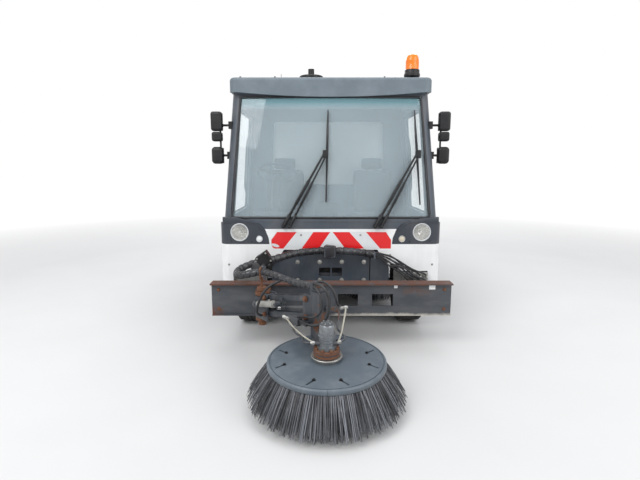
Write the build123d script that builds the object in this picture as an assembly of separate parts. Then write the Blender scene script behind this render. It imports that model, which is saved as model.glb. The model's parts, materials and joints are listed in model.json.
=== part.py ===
from build123d import *
import math
import os

# Compact road sweeper with a third brush on a front arm.
# Millimetres. The machine faces -Y, +X is its left side, +Z is up.
# The origin is on the ground, in the middle of the whole machine's box.

# Driving sizes: overall
body_length = 4650.0
body_width = 2080.0
wheelbase = 2350.0
front_overhang = 500.0
brush_reach = 1835.0          # nose face to the tips of the front brush
run_gap = 6.0                 # clearance between pieces that move past each other
seat_gap = 0.3                # clearance of a piece that rests on another

# Driving sizes: wheels
tyre_radius = 390.0
tyre_width = 255.0
tyre_shoulder = 34.0
bead_share = 0.80             # width of the tyre at its bead over its full width
rim_radius = 232.0
rim_width = 205.0
rim_wall = 9.0
drop_centre_depth = 18.0
disc_inset = 45.0             # rim's outer edge to the disc's outermost ring
disc_gauge = 12.0
hub_bore_radius = 62.0
hub_cap_reach = 34.0
vent_count = 8
vent_radius = 18.0
stud_count = 6
stud_circle_radius = 90.0
stud_radius = 10.0
wheel_track = 1640.0
kingpin_x = 725.0
kingpin_radius = 24.0

# Driving sizes: axles and frame
axle_half_height = 45.0
axle_eye_radius = 34.0
knuckle_half_height = 85.0
diff_radius = 150.0
rear_tube_radius = 58.0
spring_half_length = 430.0
spring_width = 60.0
spring_pack = 28.0
rail_x = 400.0
rail_width = 80.0
rail_height = 140.0
rail_wall = 8.0
rail_bottom_z = 480.0
rail_front_offset = 70.0
rail_rear_margin = 100.0
cross_member_width = 60.0

# Driving sizes: cab
cab_length = 1450.0
cab_wall = 45.0
waist_z = 1110.0
cab_height = 1190.0           # waist to the top of the cab's shell
roof_cap_height = 125.0       # cab's shell to the top of the roof cap
roof_bow = 46.0               # how far the cap's front edge bows down in the middle
cab_front_inset = 22.0
waist_half_width = 1012.0
top_half_width = 925.0
screen_rake = 170.0           # how far the windscreen's top lies behind its foot
screen_bulge = 38.0
cab_corner_radius = 95.0
cab_rear_radius = 30.0
glass_thickness = 7.0
glass_inset = 14.0
pillar_width = 72.0
door_front_offset = 330.0     # nose face to the door's front edge
door_rear_pillar = 135.0      # door's rear edge to the cab's rear
door_bottom_z = 905.0
door_frame = 62.0
door_gap = 6.0
sill_z = 870.0
hinge_stand_off = 10.0
hinge_radius = 9.0
hinge_pin_radius = 4.0
hinge_barrel = 34.0
floor_z = 640.0
floor_thickness = 30.0
arch_inner_x = 470.0
arch_top_z = 835.0
arch_wall = 15.0

# Driving sizes: nose
nose_bottom_z = 495.0
nose_wall = 30.0
nose_corner_radius = 90.0
nose_wrap = 70.0              # how far the nose wraps round each side
stripe_top_z = 1038.0
lamp_inner_x = 578.0
lamp_low_z = 895.0
headlamp_x = 852.0
headlamp_z = 1008.0
headlamp_radius = 76.0
small_lamp_x = 668.0
small_lamp_z = 945.0
small_lamp_radius = 30.0
nose_opening_top_z = 842.0
nose_opening_half = 440.0
pocket_inner_x = 676.0
pocket_outer_x = 923.0
pocket_top_z = 638.0
pocket_depth = 46.0
panel_gauge = 25.0

# Driving sizes: body behind the cab
hopper_front_offset = 2210.0
hopper_rear_offset = 4470.0
hopper_half_width = 1010.0
hopper_bottom_z = 960.0
hopper_height = 1370.0
hopper_wall = 40.0
hopper_roof_wall = 130.0
hopper_chamfer = 190.0
body_edge_radius = 110.0
rib_proud = 8.0
rib_width = 60.0
tailgate_thickness = 90.0
gate_pin_radius = 8.0
gate_barrel_radius = 16.0
tip_pivot_offset = 4370.0
tip_pivot_z = 860.0
tip_pin_radius = 24.0
tip_ram_radius = 45.0
cover_half_width = 980.0
cover_top_z = 2230.0
cover_wall = 35.0
louvre_count = 7
louvre_pitch = 95.0
engine_top_z = 1480.0
bumper_height = 150.0

# Driving sizes: front tool carrier
beam_half_length = 1045.0
beam_bottom_z = 322.0
beam_top_z = 612.0
beam_web = 14.0
beam_flange = 95.0
beam_lip = 30.0
flange_gauge = 12.0
beam_stand_off = 360.0        # nose face to the web's front face
tool_plate_half_width = 560.0
tool_plate_top_z = 860.0
tool_plate_inset = 46.0       # nose face to the plate's front face
tool_plate_gauge = 16.0
tool_bolt_radius = 9.0
tool_bolt_pitch = 206.0
tool_bolt_low_z = 534.0
tool_bolt_rise = 180.0
bundle_radius = 28.0

# Driving sizes: front arm and third brush
arm_pivot_x = -585.0
arm_pivot_offset = 520.0
arm_post_radius = 34.0
post_plate_low_z = 345.0
post_plate_high_z = 560.0
post_plate_gauge = 25.0
link_pin_offset = 120.0
link_length = 541.5
link_rise_deg = 12.0
link_pin_radius = 13.0
lower_pin_z = 430.0
upper_pin_z = 565.0
link_width = 70.0
head_post_offset = 95.0       # link pins to the middle of the box post
head_post_size = 100.0
head_post_top_z = 745.0
brush_x = -55.0
disc_radius = 410.0
disc_z = 335.0
disc_thickness = 10.0
disc_rim = 34.0
brush_tilt_deg = 3.1          # forwards
bristle_tip_radius = 545.0
bristle_clear_z = 60.0        # under the disc's middle, so that the front tips clear the ground
tuft_count = 44
tuft_width = 38.0
tuft_thickness = 9.0
hub_plate_radius = 106.0
motor_radius = 52.0
motor_top = 262.0             # above the disc
ring_radius = 89.0
pipe_bore_radius = 7.0

# Driving sizes: side brushes and suction mouth
side_brush_offset = 1450.0
side_brush_x = 560.0
side_pivot_x = 330.0
side_pivot_back = 250.0
side_disc_radius = 235.0
side_tip_radius = 385.0
side_disc_z = 265.0
side_tuft_count = 28
side_clear_z = 8.0
mouth_offset = 1935.0
mouth_length = 330.0
mouth_half_width = 480.0
mouth_height = 190.0
mouth_clear_z = 20.0
mouth_wall = 12.0
pipe_radius = 120.0
pipe_wall = 10.0
pipe_lean = 250.0             # how far the suction pipe leans back on its way up

# Places worked out from the driving sizes
nose_y = (brush_reach - body_length) / 2
rear_y = nose_y + body_length
half_width = body_width / 2
front_axle_y = nose_y + front_overhang
rear_axle_y = front_axle_y + wheelbase
wheel_x = wheel_track / 2
cab_top_z = waist_z + cab_height
cab_roof_z = cab_top_z + roof_cap_height
cab_rear_y = nose_y + cab_length
cab_foot_z = sill_z + seat_gap
rail_top_z = rail_bottom_z + rail_height
rail_inner_x = rail_x + rail_width / 2 - rail_wall
rail_outer_x = rail_x + rail_width / 2
rail_y0 = nose_y + rail_front_offset
rail_y1 = rear_y - rail_rear_margin
hopper_front_y = nose_y + hopper_front_offset
hopper_rear_y = nose_y + hopper_rear_offset
hopper_top_z = hopper_bottom_z + hopper_height
tip_pivot_y = nose_y + tip_pivot_offset
beam_y = nose_y - beam_stand_off
arm_pivot_y = nose_y - arm_pivot_offset
brush_y = nose_y - brush_reach + bristle_tip_radius
far = 1500.0                  # half of a cutting block that spans the machine

os.makedirs("parts", exist_ok=True)


def block(x0, x1, y0, y1, z0, z1):
    """An upright box between two corners."""
    size = (abs(x1 - x0), abs(y1 - y0), abs(z1 - z0))
    return Pos((x0 + x1) / 2, (y0 + y1) / 2, (z0 + z1) / 2) * Box(*size)


def soft_block(x0, x1, y0, y1, z0, z1, radius):
    """A box whose edges are all rounded."""
    box = block(x0, x1, y0, y1, z0, z1)
    return fillet(box.edges(), radius)


def rod_x(x0, x1, y, z, radius):
    """A round bar along X."""
    return Pos((x0 + x1) / 2, y, z) * Rot(0, 90, 0) * Cylinder(radius, abs(x1 - x0))


def rod_y(x, y0, y1, z, radius):
    """A round bar along Y."""
    return Pos(x, (y0 + y1) / 2, z) * Rot(90, 0, 0) * Cylinder(radius, abs(y1 - y0))


def rod_z(x, y, z0, z1, radius):
    """A round bar along Z."""
    return Pos(x, y, (z0 + z1) / 2) * Cylinder(radius, abs(z1 - z0))


def strut(start, end, radius):
    """A round bar between two points."""
    a = Vector(*start)
    b = Vector(*end)
    plane = Plane(origin=a, z_dir=b - a)
    return extrude(plane * Circle(radius), (b - a).length)


def both_sides(shape):
    """The shape and its mirror image on the other side of the machine."""
    return shape + mirror(shape, about=Plane.YZ)


def front_prism(points, y0, y1, radius=0.0):
    """A prism along Y from an outline in X and Z, with rounded corners where a radius is given."""
    face = make_face(Polyline(*points, close=True).edges())
    if radius:
        face = fillet(face.vertices(), radius)
    return Pos(0, y1, 0) * extrude(Plane.XZ * face, y1 - y0)


def side_prism(points, x0, x1, radius=0.0):
    """A prism along X from an outline in Y and Z, with rounded corners where a radius is given."""
    face = make_face(Polyline(*points, close=True).edges())
    if radius:
        face = fillet(face.vertices(), radius)
    return Pos(x0, 0, 0) * extrude(Plane.YZ * face, x1 - x0)


def bent_tube(points, radius, ease=0.45):
    """A tube along straight runs joined by tangent arcs, and the radii of those arcs."""
    nodes = [Vector(*p) for p in points]
    runs = [(b - a).length for a, b in zip(nodes, nodes[1:])]
    radii = []
    for i in range(1, len(nodes) - 1):
        turn = math.radians((nodes[i] - nodes[i - 1]).get_angle(nodes[i + 1] - nodes[i]))
        radii.append(ease * min(runs[i - 1], runs[i]) / math.tan(turn / 2))
    path = FilletPolyline(*points, radius=radii)
    section = Plane(origin=nodes[0], z_dir=nodes[1] - nodes[0]) * Circle(radius)
    return sweep(section, path=path), radii


def write(name, shape):
    """Write one sub-part."""
    export_step(shape, "parts/" + name + ".step")


# Wheels: tyre, rim and the knuckles that steer the front pair
def tyre_at(x, y):
    """A tyre with a rounded shoulder, a bulging wall and its rim seat open."""
    half = tyre_width / 2
    bead_half = half * bead_share
    bead = rim_radius + seat_gap
    wall_r = (tyre_radius + bead) / 2
    low_shoulder = half - tyre_shoulder * 0.4
    tread_half = half - tyre_shoulder * 1.4
    shoulder_r = tyre_radius - tyre_shoulder
    with BuildPart() as tyre:
        with BuildSketch(Plane.XZ):
            with BuildLine():
                Polyline((bead_half, bead), (-bead_half, bead))
                ThreePointArc((-bead_half, bead), (-half, wall_r), (-low_shoulder, shoulder_r))
                TangentArc((-low_shoulder, shoulder_r), (-tread_half, tyre_radius), tangent=(0.25, 1))
                Line((-tread_half, tyre_radius), (tread_half, tyre_radius))
                TangentArc((low_shoulder, shoulder_r), (tread_half, tyre_radius), tangent=(-0.25, 1))
                ThreePointArc((low_shoulder, shoulder_r), (half, wall_r), (bead_half, bead))
            make_face()
        revolve(axis=Axis.X)
    return Pos(x, y, tyre_radius) * tyre.part


def turned(points):
    """A solid of revolution about X from an outline in X and radius."""
    face = Plane.XZ * make_face(Polyline(*points, close=True).edges())
    return revolve(face, axis=Axis.X)


def rim_at(x, y, side):
    """A steel rim: a drop-centre barrel and a dished disc with vents, a hub bore and studs."""
    half = rim_width / 2
    well = rim_radius - drop_centre_depth
    inside = well - rim_wall
    barrel = turned([
        # x, radius
        (-half, rim_radius), (-half + 32, rim_radius), (-half + 48, well), (half - 62, well),
        (half - 46, rim_radius), (half, rim_radius), (half, rim_radius - rim_wall),
        (half - 41, rim_radius - rim_wall), (half - 57, inside), (-half + 43, inside),
        (-half + 27, rim_radius - rim_wall), (-half, rim_radius - rim_wall),
    ])
    crown = half - disc_inset
    disc = turned([
        # x, radius
        (crown - 52, inside + 2), (crown - 8, inside - 30), (crown, 140), (crown - 6, 124), (crown - 26, 112),
        (crown - 26, hub_bore_radius), (crown - 26 - disc_gauge, hub_bore_radius),
        (crown - 26 - disc_gauge, 118), (crown - disc_gauge - 4, 136), (crown - disc_gauge - 10, inside - 36),
        (crown - 52 - disc_gauge, inside + 2),
    ])
    rim = barrel + disc
    for i in range(vent_count):
        turn = Rot((i + 0.5) * 360 / vent_count, 0, 0)
        rim -= turn * Pos(crown - 20, 0, inside - 30) * Rot(0, 90, 0) * Cylinder(vent_radius, 80)
    for i in range(stud_count):
        turn = Rot(i * 360 / stud_count, 0, 0)
        rim += turn * Pos(crown - 15, 0, stud_circle_radius) * Rot(0, 90, 0) * Cylinder(stud_radius, 34)
    if side < 0:
        rim = mirror(rim, about=Plane.YZ)
    return Pos(x, y, tyre_radius) * rim


def hub_solid(x, y, side, reach):
    """The hub that the rim's bore sits on, from inside out, with its cap."""
    flange_x = rim_width / 2 - disc_inset - 26
    outer = x + side * (flange_x + hub_cap_reach)
    return rod_x(x - side * reach, outer, y, tyre_radius, hub_bore_radius - seat_gap)


wheel_corners = [
    # name, side, axle y
    ("front_left", 1, front_axle_y),
    ("front_right", -1, front_axle_y),
    ("rear_left", 1, rear_axle_y),
    ("rear_right", -1, rear_axle_y),
]
for name, side, axle_y in wheel_corners:
    write("tyre_" + name, tyre_at(side * wheel_x, axle_y))
    write("rim_" + name, rim_at(side * wheel_x, axle_y, side))

fork_back = 42.0
for name, side in [("left", 1), ("right", -1)]:
    x = side * kingpin_x
    z = tyre_radius
    upright = block(x - side * 34, x + side * 60, front_axle_y - fork_back, front_axle_y + fork_back,
                    z - knuckle_half_height, z + knuckle_half_height)
    upright = fillet(upright.edges().filter_by(Axis.Z), 14)
    upright -= block(x - side * 90, x + side * (axle_eye_radius + 3), front_axle_y - 60, front_axle_y + 60,
                     z - axle_half_height - 5, z + axle_half_height + seat_gap)
    upright -= rod_z(x, front_axle_y, z - 200, z + 200, kingpin_radius + seat_gap)
    hub = hub_solid(side * wheel_x, front_axle_y, side, wheel_x - kingpin_x - 45)
    steer_arm = block(x - 15, x + 15, front_axle_y + fork_back - 7, front_axle_y + 170, z - 80, z - 55)
    steer_arm += rod_z(x, front_axle_y + 170, z - 80, z - 55, 24)
    write("knuckle_" + name, upright + hub + steer_arm)


# Axles with their leaf springs, and the frame
def leaf_spring(axle_y):
    """A shallow leaf pack from the axle's seat up to the rail at both ends, with its clamp bolts."""
    low = tyre_radius + axle_half_height - 5
    high = rail_bottom_z - seat_gap
    y0 = axle_y - spring_half_length
    y1 = axle_y + spring_half_length
    with BuildLine() as pack:
        ThreePointArc((y0, high - spring_pack), (axle_y, low), (y1, high - spring_pack))
        Line((y1, high - spring_pack), (y1, high))
        ThreePointArc((y1, high), (axle_y, low + spring_pack + 5), (y0, high))
        Line((y0, high), (y0, high - spring_pack))
    x0 = rail_x - spring_width / 2
    spring = Pos(x0, 0, 0) * extrude(Plane.YZ * make_face(pack.line), spring_width)
    spring += block(x0 - 6, x0 + spring_width + 6, axle_y - 55, axle_y + 55, low - 20, low + spring_pack + 8)
    return both_sides(spring)


front_beam = block(-kingpin_x, kingpin_x, front_axle_y - 30, front_axle_y + 30,
                   tyre_radius - axle_half_height, tyre_radius + axle_half_height)
front_beam += both_sides(rod_z(kingpin_x, front_axle_y, tyre_radius - axle_half_height,
                               tyre_radius + axle_half_height, axle_eye_radius))
front_beam += both_sides(rod_z(kingpin_x, front_axle_y, tyre_radius - knuckle_half_height - 8,
                               tyre_radius + knuckle_half_height + 8, kingpin_radius))
web_half = kingpin_x - 105
for side in (1, -1):
    front_beam -= block(-web_half, web_half, front_axle_y + side * 12, front_axle_y + side * 40,
                        tyre_radius - 28, tyre_radius + 28)
front_beam += leaf_spring(front_axle_y)
write("front_axle", front_beam)

rear_hub_reach = 120.0
tube_half = wheel_x - 95
rear_beam = rod_x(-tube_half, tube_half, rear_axle_y, tyre_radius, rear_tube_radius)
rear_beam += rod_y(0, rear_axle_y - 95, rear_axle_y + 95, tyre_radius, diff_radius)
rear_beam += rod_y(0, rear_axle_y + 94, rear_axle_y + 125, tyre_radius, diff_radius - 45)
rear_beam += both_sides(Pos(105, rear_axle_y, tyre_radius) * Rot(0, 90, 0) * Cone(120, 60, 150))
rear_beam += hub_solid(wheel_x, rear_axle_y, 1, rear_hub_reach)
rear_beam += hub_solid(-wheel_x, rear_axle_y, -1, rear_hub_reach)
rear_beam += leaf_spring(rear_axle_y)
write("rear_axle", rear_beam)

rail = block(rail_x - rail_width / 2, rail_outer_x, rail_y0, rail_y1, rail_bottom_z, rail_top_z)
rail -= block(rail_x - rail_width / 2 - 1, rail_inner_x, rail_y0 + 20, rail_y1 - 20, rail_bottom_z + 10,
              rail_top_z - 10)
frame = both_sides(rail)
cross_inner = rail_inner_x + 1
ram_y = hopper_front_y + 1090
cross_member_ys = (nose_y + 112, nose_y + 1180, nose_y + 2440, ram_y, rear_y - 200)
for y in cross_member_ys:
    frame += block(-cross_inner, cross_inner, y - cross_member_width / 2, y + cross_member_width / 2,
                   rail_bottom_z + 20, rail_top_z - 20)
frame += both_sides(rod_z(180, ram_y, rail_top_z - 25, hopper_bottom_z - 90, tip_ram_radius))
frame += both_sides(rod_z(180, ram_y, hopper_bottom_z - 100, hopper_bottom_z - seat_gap, tip_ram_radius - 12))
pivot_ear = block(rail_x - 36, rail_x - 6, tip_pivot_y - 70, tip_pivot_y + 70, rail_top_z - 20, tip_pivot_z)
pivot_ear += rod_x(rail_x - 36, rail_x - 6, tip_pivot_y, tip_pivot_z, 62)
pivot_ear += rod_x(rail_x - 36, rail_x + 70, tip_pivot_y, tip_pivot_z, tip_pin_radius)
frame += both_sides(pivot_ear)
rest_y = hopper_front_y + 130
frame += both_sides(block(rail_x - 40, rail_x + 40, rest_y - 50, rest_y + 50, rail_top_z - 20,
                          hopper_bottom_z - seat_gap))
for y in (nose_y + 150, cab_rear_y - 100):
    frame += both_sides(block(rail_x - 35, rail_x + 35, y - 45, y + 45, rail_top_z - 10, floor_z - seat_gap))
engine_half = rail_x - 45
engine_y0 = cab_rear_y + 90
engine_y1 = hopper_front_y - 190
engine_foot_y = (engine_y0 + engine_y1) / 2
frame += both_sides(block(engine_half + seat_gap, rail_x - 5, engine_foot_y - 60, engine_foot_y + 60,
                          rail_top_z - 10, rail_top_z + 90))
write("chassis_frame", frame)


# Cab: one tapering shell that is cut into frame, doors and glass
def half_width_at(z):
    """Half of the cab's width at a height."""
    return waist_half_width + (top_half_width - waist_half_width) * (z - waist_z) / cab_height


def front_at(z):
    """Where the cab's front stands at a height."""
    return nose_y + cab_front_inset + screen_rake * (z - waist_z) / cab_height


def cab_plan(z, inset):
    """The cab's outline at a height, with a bowed front and rounded corners."""
    hw = half_width_at(z) - inset
    fy = front_at(z) + inset
    ry = cab_rear_y - inset
    r = cab_corner_radius - inset * 0.5
    q = cab_rear_radius
    k = math.sqrt(0.5)
    corner_y = fy + screen_bulge * 0.35
    with BuildLine() as outline:
        Line((-hw, ry - q), (-hw, corner_y + r))
        ThreePointArc((-hw, corner_y + r), (-hw + r - r * k, corner_y + r - r * k), (-hw + r, corner_y))
        ThreePointArc((-hw + r, corner_y), (0, fy - screen_bulge * 0.65), (hw - r, corner_y))
        ThreePointArc((hw - r, corner_y), (hw - r + r * k, corner_y + r - r * k), (hw, corner_y + r))
        Line((hw, corner_y + r), (hw, ry - q))
        ThreePointArc((hw, ry - q), (hw - q + q * k, ry - q + q * k), (hw - q, ry))
        Line((hw - q, ry), (-hw + q, ry))
        ThreePointArc((-hw + q, ry), (-hw + q - q * k, ry - q + q * k), (-hw, ry - q))
    return Plane.XY.offset(z) * make_face(outline.line)


def cab_solid(z0, z1, inset):
    """The cab's tapering form between two heights, drawn in by an inset."""
    return loft([cab_plan(z0, inset), cab_plan(z1, inset)], ruled=True)


def grown(points, amount):
    """An outline moved outwards from its middle by an amount along Y and Z."""
    mid_y = (min(p[0] for p in points) + max(p[0] for p in points)) / 2
    mid_z = (min(p[1] for p in points) + max(p[1] for p in points)) / 2
    return [(y + math.copysign(amount, y - mid_y), z + math.copysign(amount, z - mid_z)) for y, z in points]


door_y0 = nose_y + door_front_offset
door_y1 = cab_rear_y - door_rear_pillar
door_top_z = cab_top_z - door_frame
door_slope = screen_rake * 0.62
shell = cab_solid(cab_foot_z, cab_top_z, 0) - cab_solid(cab_foot_z - 20, cab_top_z + 30, cab_wall)
door_outline = [
    # y, z
    (door_y0, door_bottom_z),
    (door_y0, waist_z + 40),
    (door_y0 + door_slope, door_top_z),
    (door_y1, door_top_z),
    (door_y1, door_bottom_z),
]
glass_outline = [
    # y, z
    (door_y0 + door_frame, waist_z + 30),
    (door_y0 + door_frame + 8, waist_z + 110),
    (door_y0 + door_slope + door_frame - 10, door_top_z - door_frame),
    (door_y1 - door_frame, door_top_z - door_frame),
    (door_y1 - door_frame, waist_z + 30),
]
door_prism = side_prism(door_outline, -far, far)
door_hole = side_prism(grown(door_outline, door_gap), -far, far)
glass_hole = side_prism(glass_outline, -far, far, 22)
screen_bottom_z = waist_z + 25
screen_top_z = cab_top_z - 40
screen_half = waist_half_width - pillar_width
screen_top_half = top_half_width - pillar_width
screen_outline = [
    # x, z
    (-screen_half, screen_bottom_z + 30),
    (-screen_half + 40, screen_bottom_z),
    (screen_half - 40, screen_bottom_z),
    (screen_half, screen_bottom_z + 30),
    (screen_top_half, screen_top_z),
    (-screen_top_half, screen_top_z),
]
rear_window_outline = [
    # x, z
    (-700, waist_z + 290), (700, waist_z + 290), (660, cab_top_z - 150), (-660, cab_top_z - 150),
]
screen_prism = front_prism(screen_outline, nose_y - 200, door_y0)
rear_prism = front_prism(rear_window_outline, cab_rear_y - 200, cab_rear_y + 200, 40)
below_screen = block(-far, far, nose_y - 200, door_y0 - 70, 0, waist_z - 2)
cab_frame = shell - door_hole - screen_prism - rear_prism - below_screen


def side_x(z, stand_off):
    """Where the cab's side stands at a height, moved outwards by a stand-off."""
    return half_width_at(z) + stand_off


def hinge_leaf(z0, y0, y1):
    """A flat leaf from the cab's side to the hinge barrel, with its barrel."""
    z1 = z0 + hinge_barrel
    leaf = block(side_x(z0, -8), side_x(z0, hinge_stand_off + 2), y0, y1, z0, z1)
    top = (side_x(z1, hinge_stand_off), door_y0, z1)
    return leaf + strut((side_x(z0, hinge_stand_off), door_y0, z0), top, hinge_radius)


def hinge_axis(z0, length, radius):
    """A rod on the tilted hinge axis from a height up."""
    return strut((side_x(z0, hinge_stand_off), door_y0, z0),
                 (side_x(z0 + length, hinge_stand_off), door_y0, z0 + length), radius)


leaf_reach = 40.0
frame_leaves = Part()
door_leaves = Part()
for z0 in (door_bottom_z + 30, waist_z - 35):
    frame_leaves += hinge_leaf(z0, door_y0 - leaf_reach, door_y0)
    frame_leaves += hinge_axis(z0, 2 * hinge_barrel - 2, hinge_pin_radius)
    high = hinge_leaf(z0 + hinge_barrel + 1, door_y0, door_y0 + leaf_reach)
    door_leaves += high - hinge_axis(z0, 2 * hinge_barrel + 20, hinge_pin_radius + seat_gap)
cab_frame += both_sides(frame_leaves)
write("cab_frame", cab_frame)

pane_shell = cab_solid(cab_foot_z, cab_top_z, glass_inset)
pane_shell -= cab_solid(cab_foot_z, cab_top_z, glass_inset + glass_thickness)
door_body = (shell & door_prism) - glass_hole
door_panes = pane_shell & glass_hole
for name, side in [("left", 1), ("right", -1)]:
    half_space = block(0, side * far, -3000, 3000, 0, 3000)
    leaves = door_leaves if side > 0 else mirror(door_leaves, about=Plane.YZ)
    write("door_" + name, (door_body & half_space) + leaves)
    write("door_glass_" + name, door_panes & half_space)

screen_inset = 8.0
screen_shell = cab_solid(waist_z - 60, cab_top_z, screen_inset)
screen_shell -= cab_solid(waist_z - 60, cab_top_z, screen_inset + glass_thickness)
write("windscreen", screen_shell & screen_prism)
write("rear_window", pane_shell & rear_prism)

# Roof cap: a deep lid whose front edge bows down over the windscreen
cap_half = top_half_width + 14
cap_front_y = front_at(cab_top_z) - screen_bulge * 0.65 - 30
cap_rear_y = cab_rear_y + 12
cap_low_z = cab_top_z - 8
cap_foot_z = cap_low_z - roof_bow
cap_plan = RectangleRounded(2 * cap_half, cap_rear_y - cap_front_y, 70)
cap_plan = Pos(0, (cap_front_y + cap_rear_y) / 2) * cap_plan
cap_body = extrude(Plane.XY.offset(cap_foot_z) * cap_plan, cab_roof_z - cap_foot_z)
cap_body = fillet(cap_body.faces().sort_by(Axis.Z)[-1].edges(), 30)
brow_z = cap_low_z + 4
with BuildPart() as bow_cut:
    with BuildSketch(Plane.XZ):
        with BuildLine():
            Line((-far, cap_foot_z - 200), (far, cap_foot_z - 200))
            Line((far, cap_foot_z - 200), (far, brow_z))
            Line((far, brow_z), (cap_half - 20, brow_z))
            ThreePointArc((cap_half - 20, brow_z), (0, brow_z - roof_bow), (-cap_half + 20, brow_z))
            Line((-cap_half + 20, brow_z), (-far, brow_z))
            Line((-far, brow_z), (-far, cap_foot_z - 200))
        make_face()
    extrude(amount=2 * far, both=True)
cap_body -= bow_cut.part
cap_body -= block(-far, far, front_at(cab_top_z) + 25, nose_y + 4000, 0, cab_top_z + seat_gap)
cap_body -= cab_solid(waist_z, cab_top_z + seat_gap, -seat_gap)
cap_body -= block(-cap_half + 60, cap_half - 60, cap_front_y + 90, cap_rear_y - 60, cab_top_z - 60,
                  cab_roof_z - 40)
swage_pitch = 180.0
for i in range(-4, 5):
    x = i * swage_pitch
    cap_body += soft_block(x - 35, x + 35, cap_front_y + 120, cap_rear_y - 90, cab_roof_z - 8,
                           cab_roof_z + 5, 4)
write("roof_cap", cap_body)

# Cab floor with the two wheel housings, from the nose to the rear wall
floor_y0 = nose_y + 80
floor_rear_y = cab_rear_y - 2
arch_y1 = front_axle_y + 485
floor_outer_x = half_width - panel_gauge - seat_gap
floor_side = block(arch_inner_x - arch_wall, arch_inner_x, floor_y0, arch_y1, floor_z, arch_top_z + arch_wall)
floor_side += block(arch_inner_x - arch_wall, floor_outer_x, floor_y0, arch_y1, arch_top_z,
                    arch_top_z + arch_wall)
floor_side += block(arch_inner_x - arch_wall, floor_outer_x, arch_y1 - arch_wall, arch_y1,
                    floor_z, arch_top_z + arch_wall)
floor_side += block(arch_inner_x - 2, floor_outer_x, arch_y1 - arch_wall, floor_rear_y,
                    floor_z, floor_z + floor_thickness)
floor = block(-arch_inner_x, arch_inner_x, floor_y0, floor_rear_y, floor_z, floor_z + floor_thickness)
floor += both_sides(floor_side)
floor += block(-arch_inner_x + 2, arch_inner_x - 2, floor_y0, floor_y0 + 12, floor_z,
               door_bottom_z - seat_gap)
floor += block(-floor_outer_x, floor_outer_x, cab_rear_y - 32, floor_rear_y, floor_z, sill_z)
write("cab_floor", floor)


# Nose: white panel with wrapped corners, open for the tool plate and the two pockets
def nose_band(z0, z1, thickness):
    """A band of the body's outline between two heights."""
    y_mid = nose_y + 220
    outline = Pos(0, y_mid) * RectangleRounded(body_width, 440, nose_corner_radius)
    core = Pos(0, y_mid + thickness / 2) * RectangleRounded(body_width - 2 * thickness, 440 - thickness,
                                                            nose_corner_radius - thickness)
    band = extrude(Plane.XY.offset(z0) * outline, z1 - z0)
    band -= extrude(Plane.XY.offset(z0 - 1) * core, z1 - z0 + 2)
    return band - block(-far, far, nose_y + nose_wrap, nose_y + 700, z0 - 10, z1 + 10)


nose_y0 = nose_y - 50
nose_y1 = nose_y + 400
corner_drop = 70.0
nose_opening = [
    # x, z of the right half, from the foot up
    (pocket_outer_x, nose_bottom_z - 50),
    (pocket_outer_x, pocket_top_z),
    (pocket_inner_x, pocket_top_z),
    (nose_opening_half + corner_drop * 0.6, nose_opening_top_z - corner_drop),
    (nose_opening_half, nose_opening_top_z),
]
nose_hole = front_prism(nose_opening + [(-x, z) for x, z in reversed(nose_opening)], nose_y0, nose_y1, 12)
lamp_zone = block(lamp_inner_x - 12, far, nose_y0, nose_y1, lamp_low_z - seat_gap, waist_z + 200)
lamp_corner = [
    # x, z of the lamp panel's inner edge
    (lamp_inner_x, lamp_low_z), (lamp_inner_x + 8, lamp_low_z + 60), (lamp_inner_x + 38, lamp_low_z + 138),
    (lamp_inner_x + 88, lamp_low_z + 192), (lamp_inner_x + 175, waist_z + 9), (far, waist_z + 9),
    (far, lamp_low_z),
]
lamp_prism = front_prism(lamp_corner, nose_y0, nose_y1)
lamp_gap_corner = [(x - 4 if x < far else x, z - seat_gap) for x, z in lamp_corner]
lamp_gap_prism = front_prism(lamp_gap_corner, nose_y0, nose_y1)
cowl_bottom_z = stripe_top_z + seat_gap
nose = nose_band(nose_bottom_z, stripe_top_z, nose_wall) - both_sides(lamp_gap_prism) - nose_hole
write("nose_panel", nose)

lamp_panel = nose_band(lamp_low_z, waist_z - 12, nose_wall) & both_sides(lamp_prism)
for side in (1, -1):
    lamp_panel -= rod_y(side * headlamp_x, nose_y - 20, nose_y + 60, headlamp_z, headlamp_radius + 2)
    lamp_panel -= rod_y(side * small_lamp_x, nose_y - 20, nose_y + 60, small_lamp_z, small_lamp_radius + 2)
write("lamp_panels", lamp_panel)


def lamp_bowl(x, z, radius, depth, front):
    """A round lamp with a domed lens and a tapering bowl behind it."""
    bowl = Pos(x, nose_y + front + depth / 2, z) * Rot(-90, 0, 0) * Cone(radius, radius * 0.6, depth)
    rim = rod_y(x, nose_y + front - 6, nose_y + front + 14, z, radius)
    return bowl + fillet(rim.edges().sort_by(Axis.Y)[0], 5)


head = lamp_bowl(headlamp_x, headlamp_z, headlamp_radius + 2 - seat_gap, 80, 8)
small = lamp_bowl(small_lamp_x, small_lamp_z, small_lamp_radius + 2 - seat_gap, 45, 6)
write("front_lamps", both_sides(head) + both_sides(small))

cowl = nose_band(cowl_bottom_z, waist_z - 12, nose_wall) - both_sides(lamp_gap_prism)
cowl = cowl & block(-lamp_inner_x - 170, lamp_inner_x + 170, nose_y0, nose_y1, 800, 1300)
cowl += block(-half_width + 110, half_width - 110, nose_y + 3, nose_y + nose_wrap + 2, waist_z - 12,
              waist_z - 2 - seat_gap)
write("cowl", cowl)

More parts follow.
